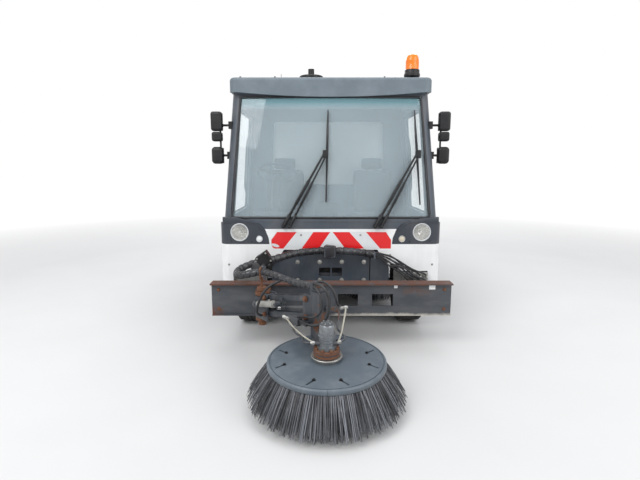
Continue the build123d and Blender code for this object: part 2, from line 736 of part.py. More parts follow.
# Side panels below the doors, with the wheel arches cut and lipped
panel_y0 = nose_y + nose_wrap + seat_gap
panel_y1 = cab_rear_y - 4
panel_bottom_z = 575.0
panel_x0 = half_width - panel_gauge
arch_radius = tyre_radius + 75
panel = block(panel_x0, half_width, panel_y0, panel_y1, panel_bottom_z, sill_z)
panel += rod_x(panel_x0 - 20, half_width, front_axle_y, tyre_radius, arch_radius + 22) & block(
    panel_x0 - 20, half_width, panel_y0, panel_y1, panel_bottom_z, sill_z - 14)
panel -= rod_x(half_width - 80, half_width + 60, front_axle_y, tyre_radius, arch_radius)
panel -= block(panel_x0 - 30, panel_x0, panel_y0 - 1, panel_y1, arch_top_z - seat_gap, sill_z)
panel += block(waist_half_width - cab_wall - 8, half_width, panel_y0, panel_y1 - 29, sill_z - 12, sill_z)
write("side_panels", both_sides(panel))

# Inside the cab: dashboard, steering wheel, seats
dash_half = 880.0
dash_profile = [
    # y, z
    (nose_y + 95, door_bottom_z), (nose_y + 95, waist_z - 25), (nose_y + 230, waist_z - 5),
    (nose_y + 380, waist_z - 45), (nose_y + 410, waist_z - 110), (nose_y + 350, door_bottom_z),
]
dash = side_prism(dash_profile, -dash_half, dash_half, 12)
dash += block(-200, 200, nose_y + 100, nose_y + 420, floor_z + floor_thickness + seat_gap, door_bottom_z + 20)
driver_x = -550.0
steer_y = nose_y + 600
steer_z = 1545.0
steer_tilt_deg = 28.0
steer_radius = 205.0
column_foot = Vector(driver_x, nose_y + 350, waist_z - 60)
hood = side_prism([(nose_y + 200, waist_z - 20), (nose_y + 240, waist_z + 75), (nose_y + 330, waist_z + 60),
                   (nose_y + 375, waist_z - 50)], driver_x - 210, driver_x + 210, 18)
write("dashboard", dash + hood)

with BuildPart() as wheel_build:
    Torus(steer_radius, 14)
    Cylinder(48, 30)
    for i in range(3):
        with Locations(Rot(0, 0, 90 + i * 120) * Pos(steer_radius * 0.56, 0, 0)):
            Box(steer_radius * 0.93, 30, 12)
steering = Pos(driver_x, steer_y, steer_z) * Rot(-steer_tilt_deg, 0, 0) * wheel_build.part
steer_hub = Vector(driver_x, steer_y, steer_z)
steering += strut(column_foot, steer_hub, 24)
column = steer_hub - column_foot
steering += strut(column_foot + column * 0.3, column_foot + column * 0.86, 48)
steering -= dash + hood
write("steering_wheel", steering)

seat_x = 520.0
seat_y = nose_y + 950
seat_top_z = 1090.0
seat_floor = floor_z + floor_thickness + seat_gap
seats = Part()
for side in (1, -1):
    x = side * seat_x
    pedestal = block(x - 170, x + 170, seat_y - 190, seat_y + 190, seat_floor, seat_top_z - 115)
    pedestal -= block(x - 400, x + 400, seat_y - 400, front_axle_y + 500, 0, arch_top_z + arch_wall + 20)
    base = soft_block(x - 250, x + 250, seat_y - 270, seat_y + 230, seat_top_z - 125, seat_top_z, 38)
    back = Pos(x, seat_y + 285, seat_top_z + 235) * Rot(-9, 0, 0) * fillet(Box(480, 120, 530).edges(), 38)
    head = Pos(x, seat_y + 334, seat_top_z + 560) * Rot(-9, 0, 0) * fillet(Box(270, 95, 140).edges(), 34)
    stalk = Pos(x, seat_y + 326, seat_top_z + 490) * Rot(-9, 0, 0) * Box(110, 24, 80)
    seats += base + pedestal + back + head + stalk
    seats += block(x - 60, x + 60, seat_y + 150, seat_y + 330, seat_top_z - 70, seat_top_z + 60)
write("seats", seats)

# Mirrors, wipers, beacon on the cab
mirror_x = 1075.0
mirror_y = nose_y + 215
mirror_heads = [
    # half width, bottom z, top z, edge radius
    (54.0, 1945.0, 2125.0, 26.0),
    (48.0, 1850.0, 1938.0, 20.0),
    (56.0, 1640.0, 1800.0, 34.0),
]
mirror_group = Part()
for half, low, high, radius in mirror_heads:
    mirror_group += soft_block(mirror_x - half, mirror_x + half, mirror_y - 48, mirror_y + 36, low, high,
                               radius)
mirror_group += rod_z(mirror_x - 30, mirror_y, 1780, 2000, 9)
for z in (2000.0, 1720.0):
    mirror_group += rod_x(half_width_at(z) - 20, mirror_x, mirror_y, z, 11)
    side_face = half_width_at(z)
    mirror_group += block(side_face - 20, side_face + 16, mirror_y - 26, mirror_y + 26, z - 34, z + 34)
mirror_group -= cab_solid(cab_foot_z, cab_top_z, 0)
write("mirrors", both_sides(mirror_group))


def screen_y(x, z):
    """Where the windscreen's outer face lies."""
    hw = half_width_at(z) - cab_corner_radius
    bulge = screen_bulge * (1 - (x / hw) ** 2) if abs(x) < hw else 0.0
    return front_at(z) + screen_bulge * 0.35 - bulge


wiper_foot_z = 1062.0
wiper_foot_spread = 60.0
blade_lift = 15.0
wiper_table = [
    # foot x, head x, head z, blade foot x, blade foot z, blade tip x, blade tip z
    (-442.0, -54.0, 1747.0, -44.0, 1287.0, -26.0, 2130.0),
    (409.0, 806.0, 1747.0, 834.0, 1260.0, 778.0, 2130.0),
]
wipers = Part()
for foot_x, head_x, head_z, low_x, low_z, tip_x, tip_z in wiper_table:
    foot_y = nose_y - 36
    head = (head_x, screen_y(head_x, head_z) - 44, head_z)
    wipers += strut((foot_x, foot_y, wiper_foot_z), head, 11)
    second_foot = (foot_x + wiper_foot_spread, foot_y, wiper_foot_z)
    wipers += strut(second_foot, (head_x + 12, head[1], head_z - 30), 8)
    wipers += block(head_x - 16, head_x + 26, head[1] - 12, head[1] + 34, head_z - 45, head_z + 12)
    for x in (foot_x, foot_x + wiper_foot_spread):
        wipers += rod_y(x, foot_y - 14, nose_y - seat_gap, wiper_foot_z, 17)
    wipers += strut((low_x, screen_y(low_x, low_z) - blade_lift, low_z),
                    (tip_x, screen_y(tip_x, tip_z) - blade_lift, tip_z), 11)
write("wipers", wipers)

beacon_x = 776.0
beacon_y = nose_y + 320
beacon_radius = 62.0
beacon = rod_z(beacon_x, beacon_y, cab_roof_z + seat_gap, cab_roof_z + 28, 16)
beacon += rod_z(beacon_x, beacon_y, cab_roof_z + 25, cab_roof_z + 62, beacon_radius + 14)
beacon += rod_z(beacon_x, beacon_y, cab_roof_z + 62, cab_roof_z + 95, beacon_radius + 8)
beacon += rod_z(beacon_x, beacon_y, cab_roof_z + 95, cab_roof_z + 180, beacon_radius)
beacon += Pos(beacon_x, beacon_y, cab_roof_z + 180) * Sphere(beacon_radius)
write("beacon", beacon)

# Engine block, its cover with louvres, and the mast on its roof
write("engine", block(-engine_half, engine_half, engine_y0, engine_y1, rail_top_z + seat_gap, engine_top_z))
cover_y0 = cab_rear_y + 20
cover_y1 = hopper_front_y - 25
cover_low_z = 900.0
cover = block(-cover_half_width, cover_half_width, cover_y0, cover_y1, cover_low_z, cover_top_z)
cover = fillet(cover.edges().filter_by(Axis.Y).sort_by(Axis.Z)[-2:], body_edge_radius)
cover -= block(-cover_half_width + cover_wall, cover_half_width - cover_wall, cover_y0 + cover_wall,
               cover_y1 - cover_wall, cover_low_z - 100, cover_top_z - cover_wall - 5)
louvre_low_z = cover_low_z + 280
for side in (1, -1):
    for i in range(louvre_count):
        z = louvre_low_z + i * louvre_pitch
        cover -= block(side * (cover_half_width - 80), side * (cover_half_width + 120), cover_y0 + 90,
                       cover_y1 - 90, z, z + 50)
stay = block(rail_x - 40, rail_x + 40, cover_y0 + 5, cover_y0 + 45, rail_top_z + seat_gap, cover_low_z + 30)
stay += block(rail_x - 40, cover_half_width - 20, cover_y0 + 5, cover_y0 + 45, cover_low_z - 40,
              cover_low_z + 30)
write("engine_cover", cover + both_sides(stay))

mast_x = -210.0
mast_y = cover_y0 + 250
mast_top_z = 2700.0
mast = rod_z(mast_x, mast_y, cover_top_z + seat_gap, mast_top_z, 105)
mast += rod_z(mast_x, mast_y, cover_top_z + seat_gap, cover_top_z + 30, 135)
mast += fillet(rod_z(mast_x, mast_y, mast_top_z - 10, mast_top_z + 36, 150).edges(), 14)
mast += rod_z(mast_x, mast_y, mast_top_z + 30, mast_top_z + 120, 38)
write("hose_mast", mast)

# Hopper: hollow load space, open to the rear, that tips about its rear pivot
shell_rear_y = hopper_rear_y - 8
hopper_side = [
    # y, z
    (hopper_front_y, hopper_bottom_z),
    (hopper_front_y, hopper_top_z - hopper_chamfer * 0.45),
    (hopper_front_y + hopper_chamfer, hopper_top_z),
    (shell_rear_y, hopper_top_z),
    (shell_rear_y, hopper_bottom_z),
]
hopper = side_prism(hopper_side, -hopper_half_width, hopper_half_width)
hopper = fillet(hopper.edges().filter_by(Axis.Y).sort_by(Axis.Z)[-2:], body_edge_radius)
rib_table = [
    # y from the hopper's front, y to, z from its foot, z to
    (90.0, 90.0 + rib_width, 70.0, 1180.0),
    (1030.0, 1030.0 + rib_width, 70.0, 1180.0),
    (2040.0, 2040.0 + rib_width, 70.0, 1180.0),
    (20.0, 2190.0, 8.0, 60.0),
]
for y_from, y_to, z_from, z_to in rib_table:
    rib = soft_block(hopper_half_width - 20, hopper_half_width + rib_proud, hopper_front_y + y_from,
                     hopper_front_y + y_to, hopper_bottom_z + z_from, hopper_bottom_z + z_to, 7)
    hopper += both_sides(rib)
hopper -= block(-hopper_half_width + hopper_wall, hopper_half_width - hopper_wall,
                hopper_front_y + hopper_wall + 20, hopper_rear_y + 50,
                hopper_bottom_z + hopper_wall, hopper_top_z - hopper_roof_wall)
hopper_ear = block(rail_x + 4, rail_x + 44, tip_pivot_y - 60, tip_pivot_y + 60, tip_pivot_z,
                   hopper_bottom_z + 10)
hopper_ear += rod_x(rail_x + 4, rail_x + 44, tip_pivot_y, tip_pivot_z, 60)
hopper_ear -= rod_x(rail_x, rail_x + 60, tip_pivot_y, tip_pivot_z, tip_pin_radius + 0.1)
hopper += both_sides(hopper_ear)
gate_pin_y = hopper_rear_y - 4
gate_pin_z = hopper_top_z + 22
gate_hinge_xs = (500.0, -660.0)
gate_leaf = 70.0
for x0 in gate_hinge_xs:
    hopper += block(x0, x0 + gate_leaf, gate_pin_y - 56, gate_pin_y, hopper_top_z - 4, gate_pin_z)
    hopper += rod_x(x0, x0 + gate_leaf, gate_pin_y, gate_pin_z, gate_barrel_radius)
    hopper += rod_x(x0, x0 + 2 * gate_leaf + 20, gate_pin_y, gate_pin_z, gate_pin_radius)
ram_x = hopper_half_width + 15
ram_foot = (ram_x, hopper_rear_y - 640, hopper_top_z - 560)
ram_mid = (ram_x, hopper_rear_y - 230, hopper_top_z - 370)
ram_eye = (ram_x, hopper_rear_y + 20, hopper_top_z - 254)
gate_ram = strut(ram_foot, ram_mid, 13) + strut(ram_mid, ram_eye, 7)
gate_ram += rod_x(hopper_half_width - 5, ram_x + 12, ram_foot[1], ram_foot[2], 16)
hopper += both_sides(gate_ram)
inlet_y = nose_y + mouth_offset + mouth_length / 2 + pipe_lean - 20
hopper -= rod_z(0, inlet_y, hopper_bottom_z - 50, hopper_bottom_z + 100, pipe_radius)
write("hopper", hopper)

gate_y0 = hopper_rear_y
gate_y1 = gate_y0 + tailgate_thickness
gate_low_z = hopper_bottom_z + 5
gate_half = hopper_half_width - 4
gate = block(-gate_half, gate_half, gate_y0, gate_y1, gate_low_z, hopper_top_z)
gate = fillet(gate.edges().filter_by(Axis.Y).sort_by(Axis.Z)[-2:], body_edge_radius)
gate = fillet(gate.faces().sort_by(Axis.Y)[-1].edges(), 16)
gate -= block(-gate_half + 60, gate_half - 60, gate_y0 - 10, gate_y0 + 50, gate_low_z + 65,
              hopper_top_z - 140)
for z0, z1 in ((gate_low_z + 120, gate_low_z + 560), (gate_low_z + 680, gate_low_z + 1120)):
    gate -= soft_block(-gate_half + 150, gate_half - 150, gate_y1 - 18, gate_y1 + 40, z0, z1, 12)
for x0 in gate_hinge_xs:
    x1 = x0 + gate_leaf + 5
    x2 = x1 + gate_leaf + 5
    gate += block(x1, x2, gate_y0, gate_y0 + 36, hopper_top_z - 24, gate_pin_z)
    gate += rod_x(x1, x2, gate_pin_y, gate_pin_z, gate_barrel_radius)
    gate -= rod_x(x1 - 15, x2 + 20, gate_pin_y, gate_pin_z, gate_pin_radius + seat_gap)
write("tailgate", gate)

# Rear end: bumper with lamps, mudguards over the rear wheels, side tanks
bumper_half = half_width - 30
bumper_z0 = 470.0
bumper_z1 = bumper_z0 + bumper_height
bumper = soft_block(-bumper_half, bumper_half, rear_y - 70, rear_y, bumper_z0, bumper_z1, 18)
bumper += both_sides(block(rail_x - 30, rail_x + 30, rail_y1 + seat_gap, rear_y - 60, bumper_z0 + 30,
                           bumper_z1 - 30))
write("rear_bumper", bumper)
lamp_case = soft_block(700, 960, rear_y - 50, rear_y - 8, bumper_z1 + seat_gap, bumper_z1 + 110, 9)
for x in (748.0, 830.0, 912.0):
    lamp_case += rod_y(x, rear_y - 20, rear_y - 1, bumper_z1 + 55, 34)
write("rear_lamps", both_sides(lamp_case))

guard_r = tyre_radius + 60
guard_x0 = wheel_x - tyre_width / 2 - 30
guard_x1 = half_width - 20
guard_foot_z = tyre_radius + 60
guard = rod_x(guard_x0, guard_x1, rear_axle_y, tyre_radius, guard_r + 14)
guard -= rod_x(guard_x0 - 10, guard_x1 - 14, rear_axle_y, tyre_radius, guard_r)
guard -= rod_x(guard_x0 - 10, guard_x1 + 20, rear_axle_y, tyre_radius, guard_r - 26)
guard -= block(guard_x0 - 20, guard_x1 + 200, rear_axle_y - 700, rear_axle_y + 700, -500, guard_foot_z)
for side in (1, -1):
    guard += block(rail_outer_x + seat_gap, guard_x0 + 30, rear_axle_y + side * 415,
                   rear_axle_y + side * 440, tyre_radius + 140, tyre_radius + 170)
write("rear_mudguards", both_sides(guard))

tank_y0 = rear_axle_y + 520
tank_y1 = rear_y - 140
tank = block(rail_outer_x + seat_gap, half_width - 80, tank_y0, tank_y1, 430, 780)
tank = fillet(tank.edges().filter_by(Axis.Y), 50)
for i in range(3):
    y = tank_y0 + (i + 1) * (tank_y1 - tank_y0) / 4
    strap = block(rail_outer_x + 60, half_width - 72, y - 26, y + 26, 422, 788)
    tank += fillet(strap.edges().filter_by(Axis.Y), 50)
tank += rod_z(half_width - 200, tank_y0 + 90, 770, 830, 48)
write("side_tanks", both_sides(tank))

# Front tool carrier: bolted plate, cross beam, coupler and its pockets
plate_y0 = nose_y + tool_plate_inset
plate_y1 = plate_y0 + tool_plate_gauge
plate_foot_z = 420.0
plate_outline = [
    # x, z
    (-tool_plate_half_width, plate_foot_z), (tool_plate_half_width, plate_foot_z),
    (tool_plate_half_width, pocket_top_z + 20), (nose_opening_half + 10, tool_plate_top_z),
    (-nose_opening_half - 10, tool_plate_top_z), (-tool_plate_half_width, pocket_top_z + 20),
]
plate = front_prism(plate_outline, plate_y0, plate_y1, 30)
plate -= soft_block(-110, 110, plate_y0 - 20, plate_y1 + 20, 576, 659, 8)
plate += rod_z(6, (plate_y0 + plate_y1) / 2, 570, 665, 8)
plate += both_sides(block(rail_x - 35, rail_x + 35, plate_y1 - 2, rail_y0 - seat_gap, rail_bottom_z + 5,
                          rail_top_z - 20))
trunk_z = 845.0
trunk_y = nose_y - 68
shelf_z = trunk_z - bundle_radius - 16
hook_y0 = trunk_y - bundle_radius - 20
plate += block(-60, 40, hook_y0, plate_y0 + 2, shelf_z - 10, shelf_z)
plate += block(-60, 40, hook_y0, hook_y0 + 8, shelf_z - 10, trunk_z + bundle_radius + 14)
plate += block(-60, 40, hook_y0, trunk_y + 10, trunk_z + bundle_radius + 6, trunk_z + bundle_radius + 14)
clamp_x = 395.0
plate += block(clamp_x + seat_gap, clamp_x + 16, trunk_y - 36, plate_y0 + 2, shelf_z - 30,
               nose_opening_top_z - 12)
for i in range(4):
    x = (i - 1.5) * tool_bolt_pitch
    for z in (tool_bolt_low_z, tool_bolt_low_z + tool_bolt_rise):
        plate -= rod_y(x, plate_y0 - 5, plate_y1 + 5, z, tool_bolt_radius)
write("tool_plate", plate)

web_y1 = beam_y + beam_web
beam_end = beam_half_length + 8
beam = block(-beam_half_length, beam_half_length, beam_y, web_y1, beam_bottom_z, beam_top_z)
beam += block(-beam_end, beam_end, beam_y - beam_lip, beam_y + beam_flange, beam_top_z - flange_gauge,
              beam_top_z)
beam += block(-beam_half_length, beam_half_length, beam_y - 12, beam_y + beam_flange, beam_bottom_z,
              beam_bottom_z + flange_gauge)
for x0, x1 in ((57.0, 232.0), (354.0, 538.0)):
    beam -= block(x0, x1, beam_y - 5, web_y1 + 5, 406, 515)
for x in (-beam_half_length + 6, 30.0, beam_half_length - 6):
    beam += block(x - 6, x + 6, web_y1 - 2, beam_y + beam_flange - 6, beam_bottom_z, beam_top_z - 2)
beam += both_sides(block(290, 340, web_y1 - 2, plate_y0 - seat_gap, 425, 520))
box_stalk_x = -590.0
box_stalk_y = beam_y + 60
clamp_low_z = 745.0
beam += block(box_stalk_x - 14, box_stalk_x + 14, box_stalk_y - 5, box_stalk_y + 5, beam_top_z - 2,
              clamp_low_z + 2)
box_half = 45.0
box_mid = (box_stalk_x, nose_y - 222, 780.0)
beam += block(box_stalk_x - 14, box_stalk_x + 14, box_stalk_y - 5, box_mid[1] + 20, clamp_low_z - 8,
              clamp_low_z + 2)
beam += soft_block(box_mid[0] - box_half, box_mid[0] + box_half, box_mid[1] - 34, box_mid[1] + 34,
                   clamp_low_z, clamp_low_z + 82, 5)
write("cross_beam", beam)

tray_back = nose_y + pocket_depth + 6
tray = block(pocket_inner_x - 70, pocket_outer_x + 12, nose_y + nose_wall + seat_gap, tray_back,
             nose_bottom_z + 5, pocket_top_z + 12)
tray -= block(pocket_inner_x - 64, pocket_outer_x + 4, nose_y, nose_y + pocket_depth, nose_bottom_z + 11,
              pocket_top_z + 4)
coupler = soft_block(pocket_inner_x + 6, pocket_outer_x - 10, nose_y - 34, nose_y + pocket_depth + 2, 522,
                     628, 6)
for row in range(2):
    for i in range(4):
        x = pocket_inner_x + 40 + i * 56
        coupler += rod_y(x, nose_y - 74, nose_y - 30, 549 + row * 52, 13)
        coupler += rod_y(x, nose_y - 58, nose_y - 46, 549 + row * 52, 17)
write("coupler_block", both_sides(tray) + coupler)

# Hose bundles: from the coupler's clamp to the clamp box, and its slack loop over to the arm's pivot
trunk_route = [
    # from the clamp on the plate, over the hook, to the clamp box on the beam
    (clamp_x + 6, trunk_y, 812.0),
    (262.0, trunk_y - 4, 832.0),
    (122.0, trunk_y, trunk_z),
    (-20.0, trunk_y + 4, trunk_z),
    (-160.0, trunk_y + 2, trunk_z - 3),
    (-295.0, trunk_y - 20, trunk_z - 14),
    (-420.0, trunk_y - 78, trunk_z - 34),
    (box_mid[0] + box_half - 14, box_mid[1], 786.0),
]
trunk, trunk_radii = bent_tube(trunk_route, bundle_radius)
print("trunk bundle: radii", [round(r) for r in trunk_radii], "volume", round(trunk.volume))
trunk_end_x = box_mid[0] + box_half + seat_gap
write("hose_trunk", trunk & block(trunk_end_x, clamp_x, nose_y - far, nose_y, 0, far))

pivot_clamp_x = arm_pivot_x - 16
loop_radius = (box_mid[1] - arm_pivot_y) / 2
loop_mid_x = -668.0
loop_mid_y = (box_mid[1] + arm_pivot_y) / 2
loop_turn = 30.0
loop_zs = (757.0, 734.0, 715.0, 706.0, 711.0, 729.0)
slack_route = [(box_mid[0] - box_half + 12, box_mid[1], 778.0)]
for i, z in enumerate(loop_zs):
    # corners of the polygon round the loop, from the clamp box to the clamp above the arm's pivot
    angle = math.radians(90 + (i + 0.5) * loop_turn)
    reach = loop_radius / math.cos(math.radians(loop_turn / 2))
    slack_route.append((loop_mid_x + reach * math.cos(angle), loop_mid_y + reach * math.sin(angle), z))
slack_route.append((pivot_clamp_x + 8, arm_pivot_y, 752.0))
slack, slack_radii = bent_tube(slack_route, bundle_radius)
print("slack bundle: radii", [round(r) for r in slack_radii], "volume", round(slack.volume))
slack_x0 = box_mid[0] - box_half - seat_gap
slack -= block(slack_x0, slack_x0 + 60, loop_mid_y, nose_y, 600, 900)
slack -= block(pivot_clamp_x - seat_gap, pivot_clamp_x + 60, arm_pivot_y - 90, loop_mid_y, 600, 900)
write("hose_slack", slack)

# Front arm: pivot post with its swing ram, bracket, parallel links, head
post_front_y = arm_pivot_y - 10
post_top_z = post_plate_high_z + post_plate_gauge
post = block(arm_pivot_x - 60, arm_pivot_x + 60, beam_y - 25, beam_y - seat_gap, post_plate_low_z, post_top_z)
for z in (post_plate_low_z, post_plate_high_z):
    post += block(arm_pivot_x - 55, arm_pivot_x + 55, post_front_y, beam_y - 20, z, z + post_plate_gauge)
    post += rod_z(arm_pivot_x, arm_pivot_y, z, z + post_plate_gauge, 55)
post += rod_z(arm_pivot_x, arm_pivot_y, 300, 612, arm_post_radius)
post += fillet(rod_z(arm_pivot_x, arm_pivot_y, 606, 628, arm_post_radius + 6).edges().sort_by(Axis.Z)[-1], 8)
post += rod_z(arm_pivot_x, arm_pivot_y, 620, 700, 12)
post += block(pivot_clamp_x, pivot_clamp_x + 12, arm_pivot_y - 34, arm_pivot_y + 34, 695, 786)
post += block(pivot_clamp_x, arm_pivot_x + 12, arm_pivot_y - 12, arm_pivot_y + 12, 690, 704)
swing_ram_y = arm_pivot_y + 77
swing_ram_z = 415.0
ram_lug_x = arm_pivot_x + 400
post += block(ram_lug_x - 25, ram_lug_x + 25, swing_ram_y - 24, beam_y - seat_gap, swing_ram_z - 24,
              swing_ram_z + 24)
post += rod_x(arm_pivot_x + 150, ram_lug_x - 10, swing_ram_y, swing_ram_z, 22)
post += rod_x(arm_pivot_x + 85, arm_pivot_x + 160, swing_ram_y, swing_ram_z, 11)
post += rod_z(arm_pivot_x + 72, swing_ram_y, swing_ram_z - 15, swing_ram_z + 15, 21)
write("arm_post", post)

rise = math.radians(link_rise_deg)
link_run = link_length * math.cos(rise)
link_rise = link_length * math.sin(rise)
head_x = link_pin_offset + link_run
arm_reach = head_x + head_post_offset
post_back = 205.0             # brush's middle to the box post, along Y
arm_dy = brush_y + post_back - arm_pivot_y
arm_dx = math.sqrt(arm_reach ** 2 - arm_dy ** 2)
arm_angle = math.degrees(math.atan2(arm_dy, arm_dx))
arm_place = Pos(arm_pivot_x, arm_pivot_y, 0) * Rot(0, 0, arm_angle)
print("arm angle", round(arm_angle, 4), "box post x", round(arm_pivot_x + arm_dx, 3))

swing_low_z = post_plate_low_z + post_plate_gauge + seat_gap
swing_high_z = post_plate_high_z - run_gap
cheek_mid = link_width / 2 + 9
swing = rod_z(0, 0, swing_low_z, swing_high_z, arm_post_radius + 22)
for side in (1, -1):
    y = side * cheek_mid
    cheek = block(20, link_pin_offset + 32, y - 7, y + 7, swing_low_z, swing_high_z)
    cheek += block(68, link_pin_offset + 32, y - 7, y + 7, swing_high_z - 1, upper_pin_z + 32)
    swing += fillet(cheek.edges().filter_by(Axis.Y).sort_by(Axis.X)[-2:], 24)
swing -= rod_z(0, 0, 300, 700, arm_post_radius + seat_gap)
for z in (lower_pin_z, upper_pin_z):
    swing += rod_y(link_pin_offset, -cheek_mid - 13, cheek_mid + 13, z, link_pin_radius)
lever_angle = math.degrees(math.atan2(swing_ram_y - arm_pivot_y, 72)) - arm_angle
lever = block(40, 122, -22, 22, swing_low_z + run_gap, swing_ram_z - 15 - run_gap)
swing += Rot(0, 0, lever_angle) * fillet(lever.edges().filter_by(Axis.Z), 16)
ram_side = -cheek_mid - 42
lift_foot = (45.0, ram_side, 505.0)
lift_eye = (346.0, ram_side, 572.0)
lift_run = [b - a for a, b in zip(lift_foot, lift_eye)]
lift_collar = tuple(a + 0.76 * run for a, run in zip(lift_foot, lift_run))
lift_gland = tuple(a + 0.86 * run for a, run in zip(lift_foot, lift_run))
swing += rod_y(lift_foot[0], ram_side - 30, -cheek_mid + 4, lift_foot[2], 13)
swing += rod_y(lift_foot[0], ram_side - 16, ram_side + 16, lift_foot[2], 31)
swing += strut(lift_foot, lift_gland, 25)
swing += strut(lift_collar, lift_gland, 29)
swing += strut(lift_gland, lift_eye, 12)
swing += rod_y(lift_eye[0], ram_side - 14, ram_side + 14, lift_eye[2], 21)
swing += rod_y(lift_eye[0], ram_side - 30, -link_width / 2 - 18 - run_gap, lift_eye[2], 12)
write("swing_bracket", arm_place * swing)


def link_bar(z, height):
    """One of the two parallel links, with an eye at each end, level about its first pin."""
    half = link_width / 2 - 4
    bar = block(0, link_length, -half, half, z - height / 2, z + height / 2)
    for x in (0, link_length):
        bar += rod_y(x, -half, half, z, 26)
    for x in (0, link_length):
        bar -= rod_y(x, -60, 60, z, link_pin_radius + seat_gap)
    bar -= soft_block(70, link_length - 70, -half + 10, half - 10, z - height, z + height, 8)
    return bar


def raised(bar, z):
    """The link turned up about its first pin and set at the bracket."""
    return arm_place * Pos(link_pin_offset, 0, z) * Rot(0, -link_rise_deg, 0) * Pos(0, 0, -z) * bar


lug_dx = lift_eye[0] - link_pin_offset
lug_dz = lift_eye[2] - upper_pin_z
lug_run = lug_dx * math.cos(rise) + lug_dz * math.sin(rise)
lug_z = upper_pin_z - lug_dx * math.sin(rise) + lug_dz * math.cos(rise)
lug_y0 = -link_width / 2 - 18
upper = link_bar(upper_pin_z, 38)
upper += rod_y(lug_run, lug_y0, lug_y0 + 28, lug_z, 22)
upper += block(lug_run - 20, lug_run + 20, lug_y0, lug_y0 + 28, lug_z, upper_pin_z)
write("lower_link", raised(link_bar(lower_pin_z, 42), lower_pin_z))
write("upper_link", raised(upper, upper_pin_z))

head_low_z = 385.0
arm_hose_z = head_post_top_z + bundle_radius - 2
hose_end_run = arm_reach - head_post_size / 2 - 22
head_local = Part()
head_local += block(hose_end_run, arm_reach - head_post_size / 2 + 12, -34, 34, head_post_top_z - 50,
                    arm_hose_z + bundle_radius + 6)
for side in (1, -1):
    y = side * cheek_mid
    cheek = block(head_x - 34, head_x + 60, y - 7, y + 7, lower_pin_z + link_rise - 36,
                  upper_pin_z + link_rise + 36)
    head_local += fillet(cheek.edges().filter_by(Axis.Y).sort_by(Axis.X)[:2], 24)
post_half = head_post_size / 2
box_post = block(arm_reach - post_half, arm_reach + post_half, -post_half, post_half, head_low_z,
                 head_post_top_z)
head_local += fillet(box_post.edges().filter_by(Axis.Z), 9)
head_local += block(arm_reach - 36, arm_reach + 36, -36, 36, head_post_top_z - 2, head_post_top_z + 12)
for z in (lower_pin_z, upper_pin_z):
    head_local += rod_y(head_x, -cheek_mid - 13, cheek_mid + 13, z + link_rise, link_pin_radius)
head = arm_place * head_local
post_x = arm_pivot_x + arm_dx
post_y = arm_pivot_y + arm_dy

tilt = Pos(brush_x, brush_y, disc_z) * Rot(brush_tilt_deg, 0, 0)
hub_step = 20.0
hub_top = 32.0
ring_low = hub_top + seat_gap
ring_high = 76.0
motor = rod_z(0, 0, ring_low, ring_high, ring_radius)
for i in range(8):
    motor += Rot(0, 0, 22.5 + i * 45) * rod_z(ring_radius - 14, 0, ring_high - 2, ring_high + 12, 9)
motor += rod_z(0, 0, ring_high - 1, ring_high + 26, motor_radius + 12)
motor += rod_z(0, 0, ring_high + 20, motor_top - 84, motor_radius)
motor += rod_z(0, 0, motor_top - 90, motor_top - 78, motor_radius + 5)
dome = rod_z(0, 0, motor_top - 80, motor_top, motor_radius - 3)
motor += fillet(dome.edges().sort_by(Axis.Z)[-1], 26)
ports = [
    # side, local x of the port's middle, z
    (-1, -motor_radius - 16, ring_high + 44),
    (1, motor_radius + 16, ring_high + 44),
]
for side, x, z in ports:
    motor += rod_x(side * 40, x + side * 14, -18, z, 13)
head += tilt * motor
neck_run = math.hypot(post_x - brush_x, post_y - brush_y)
neck_angle = math.degrees(math.atan2(post_y - brush_y, post_x - brush_x))
neck = block(0, neck_run, -62, 62, head_low_z, head_low_z + 30)
neck += block(motor_radius + 16, neck_run - 20, -8, 8, head_low_z + 28, head_low_z + 130)
head += Pos(brush_x, brush_y, 0) * Rot(0, 0, neck_angle) * neck
manifold_x = arm_reach - 178
manifold_y = -cheek_mid - 46
manifold = soft_block(manifold_x - 50, manifold_x + 62, manifold_y - 26, manifold_y + 22, 478, 536, 6)
manifold += block(manifold_x + 40, arm_reach - post_half + 4, manifold_y - 2, manifold_y + 22, 492, 522)
manifold += block(arm_reach - post_half - 20, arm_reach - post_half + 4, manifold_y - 2, -post_half + 6,
                  492, 522)
manifold += rod_z(manifold_x - 28, manifold_y - 2, 446, 482, 14)
head += arm_place * manifold
port_left = tilt * Pos(-motor_radius - 26, -18, ring_high + 44)
port_right = tilt * Pos(motor_radius + 26, -18, ring_high + 44)
pipe_start = arm_place * Pos(manifold_x - 28, manifold_y - 2, 452)
start = pipe_start.position
left = port_left.position
left_route = [
    # from the manifold down and across to the motor's left port
    (start.X, start.Y, start.Z),
    (start.X + 16, start.Y - 22, start.Z - 42),
    (start.X + 78, start.Y - 66, start.Z - 58),
    (left.X - 72, left.Y - 4, left.Z + 6),
    (left.X, left.Y, left.Z),
]
left_pipe, left_radii = bent_tube(left_route, pipe_bore_radius)
right = port_right.position
elbow_x = post_x + 130
elbow_y = post_y - 34
right_route = [
    # from the elbow on the box post down to the motor's right port
    (elbow_x, elbow_y, 628.0),
    (elbow_x + 6, elbow_y - 40, 590.0),
    (elbow_x - 20, elbow_y - 100, 520.0),
    (right.X + 56, right.Y + 8, right.Z + 34),
    (right.X, right.Y, right.Z),
]
right_pipe, right_radii = bent_tube(right_route, pipe_bore_radius)
print("steel pipes: radii", [round(r) for r in left_radii + right_radii])
head += left_pipe + right_pipe
head += block(post_x + 40, elbow_x + 8, elbow_y - 14, elbow_y + 14, 612, 642)
head += rod_z(elbow_x, elbow_y, 606, 650, 17)
write("brush_head", head)

